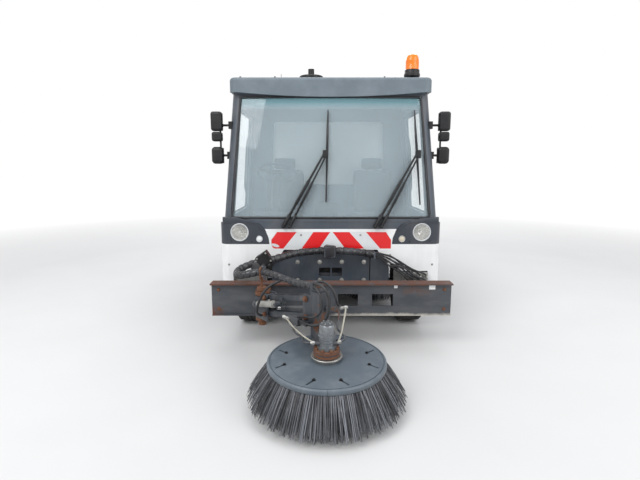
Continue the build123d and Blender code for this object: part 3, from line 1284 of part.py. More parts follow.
arm_route_local = [
    # along the arm, above the links, to the clamp on the box post
    (250.0, -14.0, arm_hose_z - 6),
    (350.0, -4.0, arm_hose_z - 14),
    (448.0, 2.0, arm_hose_z - 22),
    (540.0, -2.0, arm_hose_z - 14),
    (hose_end_run + 8, 0.0, arm_hose_z),
]
arm_route = []
for x, y, z in arm_route_local:
    spot = (arm_place * Pos(x, y, z)).position
    arm_route.append((spot.X, spot.Y, spot.Z))
arm_bundle, arm_radii = bent_tube(arm_route, bundle_radius)
print("arm bundle: radii", [round(r) for r in arm_radii], "volume", round(arm_bundle.volume))
arm_bundle -= arm_place * block(hose_end_run - seat_gap, hose_end_run + 60, -90, 90, 600, 900)
write("hose_arm", arm_bundle)


# Brushes
def brush(radius, tip_radius, clear_z, top_z, count, width, rows):
    """A plate brush about its own axis: disc, rim and rings of flared tufts fused to the rim."""
    solid = rod_z(0, 0, -disc_thickness, 0, radius)
    ring = rod_z(0, 0, -disc_rim, -2, radius)
    ring -= rod_z(0, 0, -disc_rim - 2, 0, radius - 70)
    solid += fillet(ring.edges().sort_by(Axis.Z)[-1], 1.5)
    root_z = -disc_rim + 6
    drop = top_z + root_z - clear_z
    tufts = []
    for row in range(rows):
        root = radius - 20 - row * 26
        run = tip_radius - root - row * 60
        length = math.hypot(drop, run)
        lean = math.degrees(math.atan2(run, drop))
        for i in range(count):
            turn = Rot(0, 0, (i + 0.5 * row) * 360 / count)
            place = turn * Pos(root, 0, root_z) * Rot(0, 180 - lean, 0)
            tufts.append(place * Pos(0, 0, length / 2 - 4) * Box(tuft_thickness, width, length - 8))
    return solid + tufts


front_brush = brush(disc_radius, bristle_tip_radius, bristle_clear_z, disc_z, tuft_count, tuft_width, 2)
front_brush += rod_z(0, 0, -2, hub_step + 1, hub_plate_radius - 16)
front_brush += fillet(rod_z(0, 0, hub_step, hub_top, hub_plate_radius).edges(), 3)
slot_circle = disc_radius - 75
for i in range(4):
    for offset in (-9.0, 9.0):
        turn = Rot(0, 0, 45 + i * 90 + offset)
        front_brush -= turn * Pos(slot_circle, 0, 0) * Rot(0, 0, 12) * Box(46, 11, 3 * disc_thickness)
write("front_brush", tilt * front_brush)

# Side brushes on swinging arms, and the suction mouth between them
for name, side in [("left", 1), ("right", -1)]:
    cx = side * side_brush_x
    cy = nose_y + side_brush_offset
    side_brush = brush(side_disc_radius, side_tip_radius, side_clear_z, side_disc_z, side_tuft_count, 36.0, 1)
    side_brush += rod_z(0, 0, -2, 22, 90)
    write("side_brush_" + name, Pos(cx, cy, side_disc_z) * side_brush)
    pivot_x = side * side_pivot_x
    pivot_y = cy + side_pivot_back
    arm = rod_z(pivot_x, pivot_y, 380, 455, 42)
    arm += strut((pivot_x + side * 25, pivot_y - 30, 420), (cx, cy, 420), 30)
    arm += fillet(rod_z(cx, cy, side_disc_z + 22 + seat_gap, 452, 60).edges().sort_by(Axis.Z)[-1], 16)
    arm += rod_z(cx, cy, side_disc_z + 60, side_disc_z + 84, 78)
    arm -= rod_z(pivot_x, pivot_y, 300, 500, 20 + seat_gap)
    write("side_arm_" + name, arm)

pivot_y = nose_y + side_brush_offset + side_pivot_back
carrier_top_z = rail_bottom_z + 40
pins = both_sides(rod_z(side_pivot_x, pivot_y, 365, carrier_top_z, 20))
pins += both_sides(rod_z(side_pivot_x, pivot_y, 365, 380 - seat_gap, 28))
pins += both_sides(rod_z(side_pivot_x, pivot_y, 455 + run_gap, carrier_top_z, 28))
carrier_half = rail_inner_x - seat_gap
pins += block(-carrier_half, carrier_half, pivot_y - 40, pivot_y + 40, rail_bottom_z + 20, rail_top_z - 20)
write("side_brush_carrier", pins)

mouth_y0 = nose_y + mouth_offset
mouth_y1 = mouth_y0 + mouth_length
mouth_top_z = mouth_clear_z + mouth_height
mouth_roof_z = mouth_top_z - mouth_wall
mouth = block(-mouth_half_width, mouth_half_width, mouth_y0, mouth_y1, mouth_clear_z, mouth_top_z)
mouth = fillet(mouth.edges().filter_by(Axis.X).sort_by(Axis.Z)[-2:], 40)
mouth -= block(-mouth_half_width + mouth_wall, mouth_half_width - mouth_wall, mouth_y0 + mouth_wall,
               mouth_y1 - mouth_wall, 0, mouth_roof_z - 20)
pipe_y = (mouth_y0 + mouth_y1) / 2
pipe_low = (0, pipe_y, mouth_top_z - 60)
pipe_high = (0, pipe_y + pipe_lean, hopper_bottom_z + 60)
mouth += strut(pipe_low, pipe_high, pipe_radius)
mouth -= strut(pipe_low, pipe_high, pipe_radius - pipe_wall)
mouth -= block(-300, 300, mouth_y0 + mouth_wall, mouth_y1 - mouth_wall, 0, mouth_roof_z - 20)
mouth -= block(-300, 300, pipe_y - 300, pipe_y + 800, hopper_bottom_z - run_gap, 1500)
mouth += both_sides(block(rail_x - 15, rail_x + 15, pipe_y - 25, pipe_y + 25, mouth_top_z - 5,
                          rail_bottom_z - seat_gap))
write("suction_mouth", mouth)
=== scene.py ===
"""Finish of a compact road sweeper: its paint, glass, rubber, cab, brushes, hoses and wear.

Metres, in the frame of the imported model: the machine faces -Y, +X is its left side, +Z is up.
"""

import json
import logging
import math
import random
from contextlib import contextmanager
from dataclasses import dataclass
from enum import Enum
from typing import Callable, Iterator, Sequence

import bmesh
import bpy
from mathutils import Matrix, Vector


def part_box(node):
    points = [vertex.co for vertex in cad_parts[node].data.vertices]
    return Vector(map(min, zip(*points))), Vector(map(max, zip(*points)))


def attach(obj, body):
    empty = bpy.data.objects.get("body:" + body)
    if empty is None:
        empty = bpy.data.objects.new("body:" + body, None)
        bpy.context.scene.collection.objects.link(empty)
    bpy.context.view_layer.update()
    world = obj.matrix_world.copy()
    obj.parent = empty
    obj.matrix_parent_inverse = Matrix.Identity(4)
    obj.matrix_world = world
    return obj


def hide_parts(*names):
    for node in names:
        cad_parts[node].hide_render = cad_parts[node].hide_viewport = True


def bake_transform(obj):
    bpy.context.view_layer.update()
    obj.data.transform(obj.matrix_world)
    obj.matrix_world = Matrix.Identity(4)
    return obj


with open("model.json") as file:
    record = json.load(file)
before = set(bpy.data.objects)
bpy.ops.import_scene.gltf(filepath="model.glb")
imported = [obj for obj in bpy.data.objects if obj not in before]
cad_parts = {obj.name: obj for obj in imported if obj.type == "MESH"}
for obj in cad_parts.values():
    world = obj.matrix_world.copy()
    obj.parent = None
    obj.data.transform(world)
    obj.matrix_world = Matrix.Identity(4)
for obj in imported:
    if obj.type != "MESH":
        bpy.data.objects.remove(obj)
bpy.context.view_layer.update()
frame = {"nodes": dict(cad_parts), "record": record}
log = logging.getLogger("sweeper")

Point = tuple[float, float, float]
Colour = tuple[float, float, float]
Obj = bpy.types.Object
Socket = bpy.types.NodeSocket
Material = bpy.types.Material

MERGE_DISTANCE = 0.00002


class Side(Enum):
    """The two sides of the machine, with the sign of their X."""

    LEFT = 1
    RIGHT = -1

    @property
    def label(self) -> str:
        """The side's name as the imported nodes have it."""
        return self.name.lower()


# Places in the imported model's frame
NOSE_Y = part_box("nose_panel")[0].y
CAB_ROOF_Z = 2.425
WAIST_Z = 1.11
WAIST_HALF_WIDTH = 1.012
GLASS_RISE = 1.19
SCREEN_BULGE = 0.038
BEAM_Y = NOSE_Y - 0.36
ARM_PIVOT = Vector((-0.585, NOSE_Y - 0.52, 0.0))
BRUSH_CENTRE = Vector((-0.055, NOSE_Y - 1.29, 0.335))
BRUSH_TILT = math.radians(3.1)
LINK_LENGTH = 0.5415
LINK_RISE = math.radians(12.0)
HEAD_PIN_X = 0.12 + LINK_LENGTH * math.cos(LINK_RISE)
ARM_REACH = HEAD_PIN_X + 0.095
ARM_DY = BRUSH_CENTRE.y + 0.205 - ARM_PIVOT.y
ARM_DX = math.sqrt(ARM_REACH ** 2 - ARM_DY ** 2)
ARM = Matrix.Translation(ARM_PIVOT) @ Matrix.Rotation(math.atan2(ARM_DY, ARM_DX), 4, "Z")
BRUSH = Matrix.Translation(BRUSH_CENTRE) @ Matrix.Rotation(BRUSH_TILT, 4, "X")
WHEELBASE = 2.35
FRONT_AXLE_Y = NOSE_Y + 0.5
WHEEL_X = 0.82
WHEEL_Z = 0.39


def side_brush_place(side: Side) -> Matrix:
    """The top of a side brush's disc, between the axles."""
    return Matrix.Translation((side.value * 0.56, NOSE_Y + 1.45, 0.265))


def on_arm(x: float, y: float, z: float) -> Vector:
    """A point given along, across and above the front arm."""
    return ARM @ Vector((x, y, z))


def turn_about(axis: str, angle: float) -> Matrix:
    """A turn about an axis, in radians."""
    return Matrix.Rotation(angle, 4, axis)


# Small modelling helpers
def deselect_all() -> None:
    """Leave edit mode and select nothing."""
    if bpy.context.object and bpy.context.object.mode != "OBJECT":
        bpy.ops.object.mode_set(mode="OBJECT")
    bpy.ops.object.select_all(action="DESELECT")


def add_object(name: str, data: bpy.types.ID) -> Obj:
    """Put a new object with some data into the scene.

    Args:
        name: The object's name.
        data: Its mesh, curve, camera or lamp.

    Returns:
        The new object.
    """
    obj = bpy.data.objects.new(name, data)
    bpy.context.scene.collection.objects.link(obj)
    return obj


def from_form(name: str, form: bmesh.types.BMesh, materials: Sequence[Material] = ()) -> Obj:
    """Turn an edit mesh into an object.

    Args:
        name: The object's name.
        form: The edit mesh; it is freed.
        materials: The materials that the object gets.

    Returns:
        The new object.
    """
    mesh = bpy.data.meshes.new(name)
    form.to_mesh(mesh)
    form.free()
    for material in materials:
        mesh.materials.append(material)
    return add_object(name, mesh)


def face_outwards() -> None:
    """Turn all normals of the mesh in edit mode outwards."""
    bpy.ops.mesh.select_all(action="SELECT")
    bpy.ops.mesh.normals_make_consistent(inside=False)


def make_active(obj: Obj) -> None:
    """Select one object alone and make it the active one.

    Args:
        obj: The object to select.
    """
    deselect_all()
    obj.select_set(True)
    bpy.context.view_layer.objects.active = obj


@contextmanager
def editing(obj: Obj, mode: str = "FACE") -> Iterator[bmesh.types.BMesh]:
    """Open an object in edit mode with nothing selected.

    Args:
        obj: The mesh object to edit.
        mode: The kind of element that is selected: VERT, EDGE or FACE.

    Yields:
        The edit mesh, for choosing what an operator acts on.
    """
    make_active(obj)
    bpy.ops.object.mode_set(mode="EDIT")
    bpy.ops.mesh.select_mode(type=mode)
    bpy.ops.mesh.select_all(action="DESELECT")
    mesh = bmesh.from_edit_mesh(obj.data)
    yield mesh
    bpy.ops.object.mode_set(mode="OBJECT")


def settle(obj: Obj) -> Obj:
    """Put an object's place, turn and size into its mesh.

    Args:
        obj: The object to settle.

    Returns:
        The same object, at the origin.
    """
    make_active(obj)
    bpy.ops.object.transform_apply(location=True, rotation=True, scale=True)
    return obj


def apply_modifier(obj: Obj, kind: str, **settings: object) -> None:
    """Add a modifier, set it and apply it.

    Args:
        obj: The object that gets the modifier.
        kind: The modifier's type, such as BEVEL.
        settings: The modifier's values by name.
    """
    make_active(obj)
    modifier = obj.modifiers.new(kind.title(), kind)
    for key, value in settings.items():
        setattr(modifier, key, value)
    bpy.ops.object.modifier_apply(modifier=modifier.name)


def smooth(obj: Obj, angle: float = 35.0) -> Obj:
    """Shade an object smooth up to an angle in degrees.

    Args:
        obj: The object to shade.
        angle: Edges sharper than this stay sharp.

    Returns:
        The same object.
    """
    make_active(obj)
    bpy.ops.object.shade_smooth_by_angle(angle=math.radians(angle))
    return obj


def add_box(name: str, low: Point, high: Point, bevel: float = 0.0, segments: int = 2) -> Obj:
    """A box between two corners with eased edges.

    Args:
        name: The piece's name.
        low: Its lowest corner.
        high: Its highest corner.
        bevel: How far the edges are eased.
        segments: The number of faces across an eased edge.

    Returns:
        The new object.
    """
    deselect_all()
    centre = [(a + b) / 2 for a, b in zip(low, high)]
    bpy.ops.mesh.primitive_cube_add(size=1.0, location=centre)
    obj = bpy.context.object
    obj.name = name
    obj.scale = [abs(b - a) for a, b in zip(low, high)]
    settle(obj)
    if bevel > 0:
        apply_modifier(obj, "BEVEL", width=bevel, segments=segments, limit_method="ANGLE")
    return obj


def add_rod(name: str, start: Point, end: Point, radius: float, sides: int = 24, bevel: float = 0.0,
            end_radius: float | None = None) -> Obj:
    """A round or tapering bar between two points.

    Args:
        name: The piece's name.
        start: The centre of its first end.
        end: The centre of its other end.
        radius: Its radius at the start.
        sides: The number of faces round it.
        bevel: How far the end edges are eased.
        end_radius: Its radius at the end, where it tapers.

    Returns:
        The new object.
    """
    deselect_all()
    a, b = Vector(start), Vector(end)
    turn = (b - a).to_track_quat("Z", "Y")
    tip = radius if end_radius is None else end_radius
    bpy.ops.mesh.primitive_cone_add(vertices=sides, radius1=radius, radius2=tip, depth=(b - a).length,
                                    location=(a + b) / 2, rotation=turn.to_euler())
    obj = bpy.context.object
    obj.name = name
    settle(obj)
    if bevel > 0:
        apply_modifier(obj, "BEVEL", width=bevel, segments=2, limit_method="ANGLE",
                       angle_limit=math.radians(50))
    return obj


def join(name: str, objects: Sequence[Obj]) -> Obj:
    """Join several objects into one piece.

    Args:
        name: The joined piece's name.
        objects: The objects to join.

    Returns:
        The joined object.
    """
    make_active(objects[0])
    for obj in objects:
        obj.select_set(True)
    if len(objects) > 1:
        bpy.ops.object.join()
    joined = bpy.context.object
    joined.name = name
    return joined


def drop(obj: Obj) -> None:
    """Remove a helper object that is no longer needed.

    Args:
        obj: The object to remove.
    """
    bpy.data.objects.remove(obj, do_unlink=True)


def placed(obj: Obj, matrix: Matrix) -> Obj:
    """Move a piece from its own frame to its place, within its mesh.

    Args:
        obj: The piece, modelled in its own frame.
        matrix: Its place.

    Returns:
        The same piece.
    """
    obj.matrix_world = matrix
    bpy.context.view_layer.update()
    return settle(obj)


def repeat(name: str, template: Obj, places: Sequence[Matrix]) -> Obj:
    """Copy a small piece to many places, each copy with its own mesh, as one object.

    Args:
        name: The name of the whole set.
        template: The piece that is copied; it is removed.
        places: Where each copy goes.

    Returns:
        The new object.
    """
    form = bmesh.new()
    for place in places:
        first = len(form.verts)
        form.from_mesh(template.data)
        form.verts.ensure_lookup_table()
        bmesh.ops.transform(form, matrix=place, verts=form.verts[first:])
    obj = from_form(name, form, template.data.materials)
    drop(template)
    return obj


def plate(name: str, outline: Sequence[tuple[float, float]], y0: float, y1: float, bevel: float = 0.0,
          segments: int = 2) -> Obj:
    """A plate from an outline in X and Z, between two places along Y.

    Args:
        name: The piece's name.
        outline: Its corners in X and Z.
        y0: Its front.
        y1: Its back.
        bevel: How far its edges are eased.
        segments: The number of faces across an eased edge.

    Returns:
        The new object.
    """
    deselect_all()
    bpy.ops.mesh.primitive_circle_add(vertices=len(outline), radius=0.1, fill_type="NGON")
    obj = bpy.context.object
    obj.name = name
    with editing(obj, "VERT") as mesh:
        for vertex, (x, z) in zip(mesh.verts, outline):
            vertex.co = (x, y0, z)
        bpy.ops.mesh.select_all(action="SELECT")
        bpy.ops.mesh.extrude_region_move(TRANSFORM_OT_translate={"value": (0.0, y1 - y0, 0.0)})
        face_outwards()
    if bevel > 0:
        apply_modifier(obj, "BEVEL", width=bevel, segments=segments, limit_method="ANGLE")
    return obj


def spun(name: str, profile: Sequence[tuple[float, float]], steps: int = 48, closed: bool = False,
         matrix: Matrix | None = None) -> Obj:
    """A turned piece: a profile in radius and height, spun about Z.

    Args:
        name: The piece's name.
        profile: Its points in radius and height.
        steps: The number of faces round it.
        closed: Whether the last point joins the first one.
        matrix: Where the piece goes, from its own frame.

    Returns:
        The new object.
    """
    deselect_all()
    bpy.ops.mesh.primitive_circle_add(vertices=len(profile), radius=0.1, fill_type="NOTHING")
    obj = bpy.context.object
    obj.name = name
    with editing(obj, "EDGE") as mesh:
        mesh.verts.ensure_lookup_table()
        for vertex, (radius, height) in zip(mesh.verts, profile):
            vertex.co = (radius, 0.0, height)
        if not closed:
            ends = {mesh.verts[0], mesh.verts[-1]}
            for edge in mesh.edges:
                edge.select = set(edge.verts) == ends
            bpy.ops.mesh.delete(type="EDGE_FACE")
        bpy.ops.mesh.select_all(action="SELECT")
        bpy.ops.mesh.spin(steps=steps, angle=2 * math.pi, center=(0, 0, 0), axis=(0, 0, 1))
        bpy.ops.mesh.select_all(action="SELECT")
        bpy.ops.mesh.remove_doubles(threshold=MERGE_DISTANCE)
        bpy.ops.mesh.normals_make_consistent(inside=False)
    if matrix is not None:
        placed(obj, matrix)
    return obj


def facing(place: Point, direction: Point) -> Matrix:
    """A place whose Z axis points along a direction.

    Args:
        place: The origin of the new frame.
        direction: Where its Z axis points.

    Returns:
        The frame's matrix.
    """
    return Matrix.Translation(place) @ Vector(direction).to_track_quat("Z", "Y").to_matrix().to_4x4()


def nurbs(name: str, points: Sequence[Point], order: int, resolution: int = 12) -> bpy.types.Curve:
    """A NURBS curve that starts and ends at its outer points.

    Args:
        name: The curve's name.
        points: Its control points.
        order: 2 keeps sharp corners and 3 eases them.
        resolution: How many points are read between two control points.

    Returns:
        The new curve.
    """
    data = bpy.data.curves.new(name, "CURVE")
    data.dimensions = "3D"
    data.resolution_u = resolution
    spline = data.splines.new("NURBS")
    spline.points.add(len(points) - 1)
    for target, point in zip(spline.points, points):
        target.co = (*point, 1.0)
    spline.order_u = order
    spline.use_endpoint_u = True
    return data


def bent_bar(name: str, points: Sequence[Point], radius: float, sides: int = 4, order: int = 3) -> Obj:
    """A rigid bar or pipe with eased bends and closed ends.

    Args:
        name: The piece's name.
        points: The bar's corners.
        radius: Its radius.
        sides: How finely it is rounded.
        order: 2 keeps sharp corners and 3 eases them.

    Returns:
        The new object, as a mesh.
    """
    deselect_all()
    data = nurbs(name, points, order)
    data.bevel_depth = radius
    data.bevel_resolution = sides
    data.use_fill_caps = True
    obj = add_object(name, data)
    make_active(obj)
    bpy.ops.object.convert(target="MESH")
    obj = bpy.context.object
    with editing(obj):
        bpy.ops.mesh.select_all(action="SELECT")
        bpy.ops.mesh.remove_doubles(threshold=MERGE_DISTANCE)
        bpy.ops.mesh.normals_make_consistent(inside=False)
    return smooth(obj, 40)


def hex_bolts(name: str, places: Sequence[Matrix], radius: float = 0.009, height: float = 0.006,
              washer: float = 1.45) -> Obj:
    """Hexagon bolt heads on washers.

    Args:
        name: The set's name.
        places: Where each head sits, with Z out of the surface.
        radius: The head's radius over its corners.
        height: The head's height.
        washer: The washer's radius over the head's.

    Returns:
        All heads as one object.
    """
    head = add_rod("head", (0, 0, 0.0), (0, 0, height + 0.0015), radius, 6, bevel=radius * 0.1)
    ring = add_rod("ring", (0, 0, -0.001), (0, 0, 0.0016), radius * washer, 18)
    return smooth(repeat(name, join("bolt", [head, ring]), places), 30)


def dress(obj: Obj, body: str, material: Material,
          stands_for: Sequence[str] = ()) -> Obj:
    """Give a piece its material and the body that it rides on.

    Args:
        obj: The piece.
        body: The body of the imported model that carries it.
        material: The finish that it gets.
        stands_for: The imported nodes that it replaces.

    Returns:
        The same piece.
    """
    if not obj.data.materials:
        obj.data.materials.append(material)
    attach(obj, body)
    if stands_for:
        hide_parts(*stands_for)
    log.info("%s rides on %s", obj.name, body)
    return obj


def fitted(name: str, pieces: Sequence[Obj], body: str, material: Material,
           stands_for: Sequence[str] = ()) -> Obj:
    """Join pieces that share a finish into one smooth piece on a body.

    Args:
        name: The joined piece's name.
        pieces: The pieces to join.
        body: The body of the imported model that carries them.
        material: The finish that they get.
        stands_for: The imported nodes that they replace.

    Returns:
        The joined piece.
    """
    return dress(smooth(join(name, pieces), 35), body, material, stands_for)


# Finishes
class Nodes:
    """Short ways to lay out a material's nodes."""

    def __init__(self, name: str) -> None:
        """Start an empty node material.

        Args:
            name: The material's name.
        """
        self.material = bpy.data.materials.new(name)
        self.material.use_nodes = True
        self.tree = self.material.node_tree
        self.shader = self.tree.nodes["Principled BSDF"]
        self.output = self.tree.nodes["Material Output"]
        self.place = self.tree.nodes.new("ShaderNodeTexCoord").outputs["Object"]

    def link(self, a: Socket, b: Socket) -> None:
        """Join an output to an input."""
        self.tree.links.new(a, b)

    def put(self, value: object, target: Socket) -> None:
        """Give an input its value.

        Args:
            value: A number, a colour or the output that feeds it.
            target: The input.
        """
        if isinstance(value, Socket):
            self.link(value, target)
        else:
            target.default_value = (*value, 1.0) if isinstance(value, tuple) else value

    def feed(self, name: str, value: object) -> None:
        """Give one of the surface shader's inputs its value."""
        self.put(value, self.shader.inputs[name])

    def noise(self, scale: float, detail: float = 4.0, rough: float = 0.55,
              stretch: Point = (1.0, 1.0, 1.0)) -> Socket:
        """A noise pattern on the object's own coordinates.

        Args:
            scale: Its scale in 1/m.
            detail: How many finer layers it has.
            rough: How strong the finer layers are.
            stretch: The scale along each axis.

        Returns:
            The pattern's value, from 0 to 1.
        """
        mapping = self.tree.nodes.new("ShaderNodeMapping")
        mapping.inputs["Scale"].default_value = stretch
        self.link(self.place, mapping.inputs["Vector"])
        node = self.tree.nodes.new("ShaderNodeTexNoise")
        node.inputs["Scale"].default_value = scale
        node.inputs["Detail"].default_value = detail
        node.inputs["Roughness"].default_value = rough
        self.link(mapping.outputs["Vector"], node.inputs["Vector"])
        return node.outputs["Fac"]

    def ramp(self, value: Socket, low: float, high: float) -> Socket:
        """Stretch a value so that low becomes 0 and high becomes 1."""
        node = self.tree.nodes.new("ShaderNodeMapRange")
        node.inputs["From Min"].default_value = low
        node.inputs["From Max"].default_value = high
        self.link(value, node.inputs["Value"])
        return node.outputs["Result"]

    def blend(self, share: Socket | float, first: object, second: object) -> Socket:
        """Mix two colours or colour sockets by a share.

        Args:
            share: How much of the second shows.
            first: A colour or a socket.
            second: A colour or a socket.

        Returns:
            The mixed colour.
        """
        node = self.tree.nodes.new("ShaderNodeMix")
        node.data_type = "RGBA"
        for index, value in ((6, first), (7, second), (0, share)):
            self.put(value, node.inputs[index])
        return node.outputs[2]

    def math(self, kind: str, a: object, b: object = 0.0) -> Socket:
        """A sum, product or other calculation on one or two values."""
        node = self.tree.nodes.new("ShaderNodeMath")
        node.operation = kind
        for socket, value in zip(node.inputs, (a, b)):
            self.put(value, socket)
        return node.outputs[0]

    def plus(self, a: object, b: object) -> Socket:
        """The sum of two values."""
        return self.math("ADD", a, b)

    def times(self, a: object, b: object) -> Socket:
        """The product of two values."""
        return self.math("MULTIPLY", a, b)

    def bump(self, height: Socket, distance: float, strength: float = 1.0) -> None:
        """Give the surface a fine relief.

        Args:
            height: The relief's height, from 0 to 1.
            distance: How high 1 is, in metres.
            strength: How strongly it shows.
        """
        node = self.tree.nodes.new("ShaderNodeBump")
        node.inputs["Distance"].default_value = distance
        node.inputs["Strength"].default_value = strength
        self.link(height, node.inputs["Height"])
        self.link(node.outputs["Normal"], self.shader.inputs["Normal"])

    def axis(self, index: int) -> Socket:
        """One of the object's own coordinates: 0 is X, 1 is Y and 2 is Z."""
        node = self.tree.nodes.new("ShaderNodeSeparateXYZ")
        self.link(self.place, node.inputs[0])
        return node.outputs[index]

    def attribute(self, name: str) -> Socket:
        """A value stored on the mesh."""
        node = self.tree.nodes.new("ShaderNodeAttribute")
        node.attribute_name = name
        return node.outputs["Fac"]


@dataclass(frozen=True)
class Paint:
    """Vehicle paint with road dust, fine scratches and, where the paint wears through, rust."""

    name: str
    colour: Colour
    roughness: float = 0.35
    metallic: float = 0.0
    dust: Colour = (0.35, 0.33, 0.3)
    dust_share: float = 0.25
    rust_share: float = 0.0
    rust: Colour = (0.095, 0.04, 0.022)
    relief: float = 0.0004

    def make(self) -> Material:
        """Build the material.

        Returns:
            The new material.
        """
        n = Nodes(self.name)
        cloud = n.noise(3.0, 6.0, 0.6)
        streak = n.noise(9.0, 5.0, 0.6, stretch=(1.0, 1.0, 0.18))
        share = n.times(n.ramp(n.times(cloud, streak), 0.2, 0.42), self.dust_share)
        colour = n.blend(share, self.colour, self.dust)
        rough = n.plus(n.times(cloud, 0.18), self.roughness - 0.07)
        if self.rust_share > 0:
            spots = n.noise(14.0, 10.0, 0.68)
            broad = n.noise(2.6, 4.0, 0.6)
            level = n.plus(n.times(broad, 0.65), n.times(spots, 0.55))
            edge = 0.84 - 0.38 * self.rust_share
            where = n.ramp(level, edge, edge + 0.045)
            tone = n.blend(n.noise(42.0, 6.0), self.rust, (0.205, 0.095, 0.052))
            colour = n.blend(where, colour, tone)
            rough = n.plus(rough, n.times(where, 0.35))
            n.bump(n.plus(n.times(where, 0.7), n.noise(220.0, 3.0)), self.relief * 2)
        else:
            n.bump(n.noise(420.0, 2.0), self.relief * 0.25, 0.5)
        n.feed("Base Color", colour)
        n.feed("Roughness", rough)
        n.feed("Metallic", self.metallic)
        return n.material


@dataclass(frozen=True)
class BeamPaint:
    """The front beam's paint: a rusty top edge, a pale band along the foot on the machine's left that is
    painted highlight, pale scuffs in spots, and rust in patches.
    """

    name: str = "beam_paint"
    colour: Colour = (0.04, 0.045, 0.054)
    # Pale colour of the scuffs in spots and of the painted highlight along the foot.
    worn: Colour = (0.42, 0.4, 0.36)
    top_z: float = 0.612
    foot_z: float = 0.322

    def make(self) -> Material:
        """Build the material.

        Returns:
            The new material.
        """
        n = Nodes(self.name)
        height, across = n.axis(2), n.axis(0)
        spots = n.noise(16.0, 9.0, 0.72)
        cloud = n.noise(4.0, 6.0, 0.65, stretch=(0.6, 1.0, 1.8))
        colour = n.blend(n.times(n.ramp(cloud, 0.38, 0.68), 0.45), self.colour, (0.135, 0.14, 0.145))
        # Painted highlight: the pale band along the foot, on the machine's left, stands for light on the
        # foot; the spots add real pale scuffs.
        foot = n.times(n.ramp(height, self.foot_z + 0.045, self.foot_z + 0.004), n.ramp(across, -0.3, 0.1))
        scuffs_and_highlight = n.ramp(n.plus(n.times(foot, 0.6), n.times(spots, 0.7)), 0.66, 0.92)
        colour = n.blend(scuffs_and_highlight, colour, self.worn)
        edge = n.times(n.ramp(height, self.top_z - 0.02, self.top_z - 0.01),
                       n.ramp(height, self.top_z + 0.03, self.top_z + 0.004))
        corner = n.times(n.ramp(across, -0.86, -1.02), n.ramp(height, 0.46, 0.36))
        patch = n.times(n.times(n.ramp(across, 0.42, 0.66), n.ramp(across, 1.02, 0.8)),
                        n.times(n.ramp(height, 0.38, 0.54), 0.22))
        level = n.plus(n.plus(n.times(edge, 0.62), n.times(corner, 0.34)),
                       n.plus(patch, n.times(n.plus(spots, cloud), 0.42)))
        where = n.times(n.ramp(level, 0.56, 0.8), n.ramp(spots, 0.3, 0.52))
        tone = n.blend(n.noise(36.0, 6.0), (0.07, 0.032, 0.023), (0.15, 0.064, 0.04))
        n.feed("Base Color", n.blend(where, colour, tone))
        n.feed("Roughness", n.plus(n.times(where, 0.35), 0.5))
        n.bump(n.plus(n.times(where, 0.7), n.noise(220.0, 3.0)), 0.0008)
        return n.material


@dataclass(frozen=True)
class BristleStrip:
    """Flat bristles, each strand with a tone of its own."""

    name: str = "bristle_strip"
    dark: Colour = (0.008, 0.008, 0.01)
    light: Colour = (0.21, 0.22, 0.245)

    def make(self) -> Material:
        """Build the material.

        Returns:
            The new material.
        """
        n = Nodes(self.name)
        share = n.plus(n.times(n.attribute("tone"), 0.85),
                       n.times(n.ramp(n.noise(34.0, 5.0), 0.35, 0.7), 0.15))
        n.feed("Base Color", n.blend(share, self.dark, self.light))
        n.feed("Roughness", 0.48)
        n.bump(n.noise(240.0, 3.0), 0.0002, 0.5)
        return n.material


@dataclass(frozen=True)
class Moulding:
    """Moulded plastic or rubber with a fine grain and greyed patches: wear from fading, and on the spiral
    guard painted highlight.
    """

    name: str
    colour: Colour
    roughness: float = 0.6
    grain: float = 900.0
    relief: float = 0.0003
    fade_and_sheen: Colour = (0.16, 0.165, 0.17)
    fade_and_sheen_share: float = 0.2
    shine: float = 0.5

    def make(self) -> Material:
        """Build the material.

        Returns:
            The new material.
        """
        n = Nodes(self.name)
        cloud = n.noise(5.0, 6.0, 0.62)
        # Greyed patches: wear from fading, and on the spiral guard painted highlight on its glossy bands.
        share = n.times(n.ramp(cloud, 0.42, 0.72), self.fade_and_sheen_share)
        n.feed("Base Color", n.blend(share, self.colour, self.fade_and_sheen))
        n.feed("Roughness", n.plus(n.times(cloud, 0.2), self.roughness - 0.1))
        n.feed("Specular IOR Level", self.shine)
        n.bump(n.noise(self.grain, 3.0), self.relief, 0.6)
        return n.material


@dataclass(frozen=True)
class Metal:
    """Bare or plated metal with smears and fine marks."""

    name: str
    colour: Colour
    roughness: float = 0.35
    metallic: float = 1.0
    tarnish: Colour = (0.2, 0.19, 0.17)
    tarnish_share: float = 0.35
    rust_share: float = 0.0

    def make(self) -> Material:
        """Build the material.

        Returns:
            The new material.
        """
        n = Nodes(self.name)
        cloud = n.noise(22.0, 6.0, 0.65)
        share = n.times(n.ramp(cloud, 0.4, 0.66), self.tarnish_share)
        colour = n.blend(share, self.colour, self.tarnish)
        rough = n.plus(n.times(cloud, 0.3), self.roughness - 0.12)
        metal = n.math("SUBTRACT", self.metallic, n.times(share, 0.6))
        if self.rust_share > 0:
            spots = n.noise(30.0, 9.0, 0.7)
            edge = 0.68 - 0.26 * self.rust_share
            where = n.ramp(spots, edge, edge + 0.07)
            tone = n.blend(n.noise(60.0, 5.0), (0.1, 0.042, 0.022), (0.24, 0.115, 0.06))
            colour = n.blend(where, colour, tone)
            rough = n.plus(rough, n.times(where, 0.4))
            metal = n.times(metal, n.math("SUBTRACT", 1.0, where))
        n.feed("Base Color", colour)
        n.feed("Roughness", rough)
        n.feed("Metallic", metal)
        n.bump(n.noise(300.0, 4.0), 0.0003, 0.5)
        return n.material


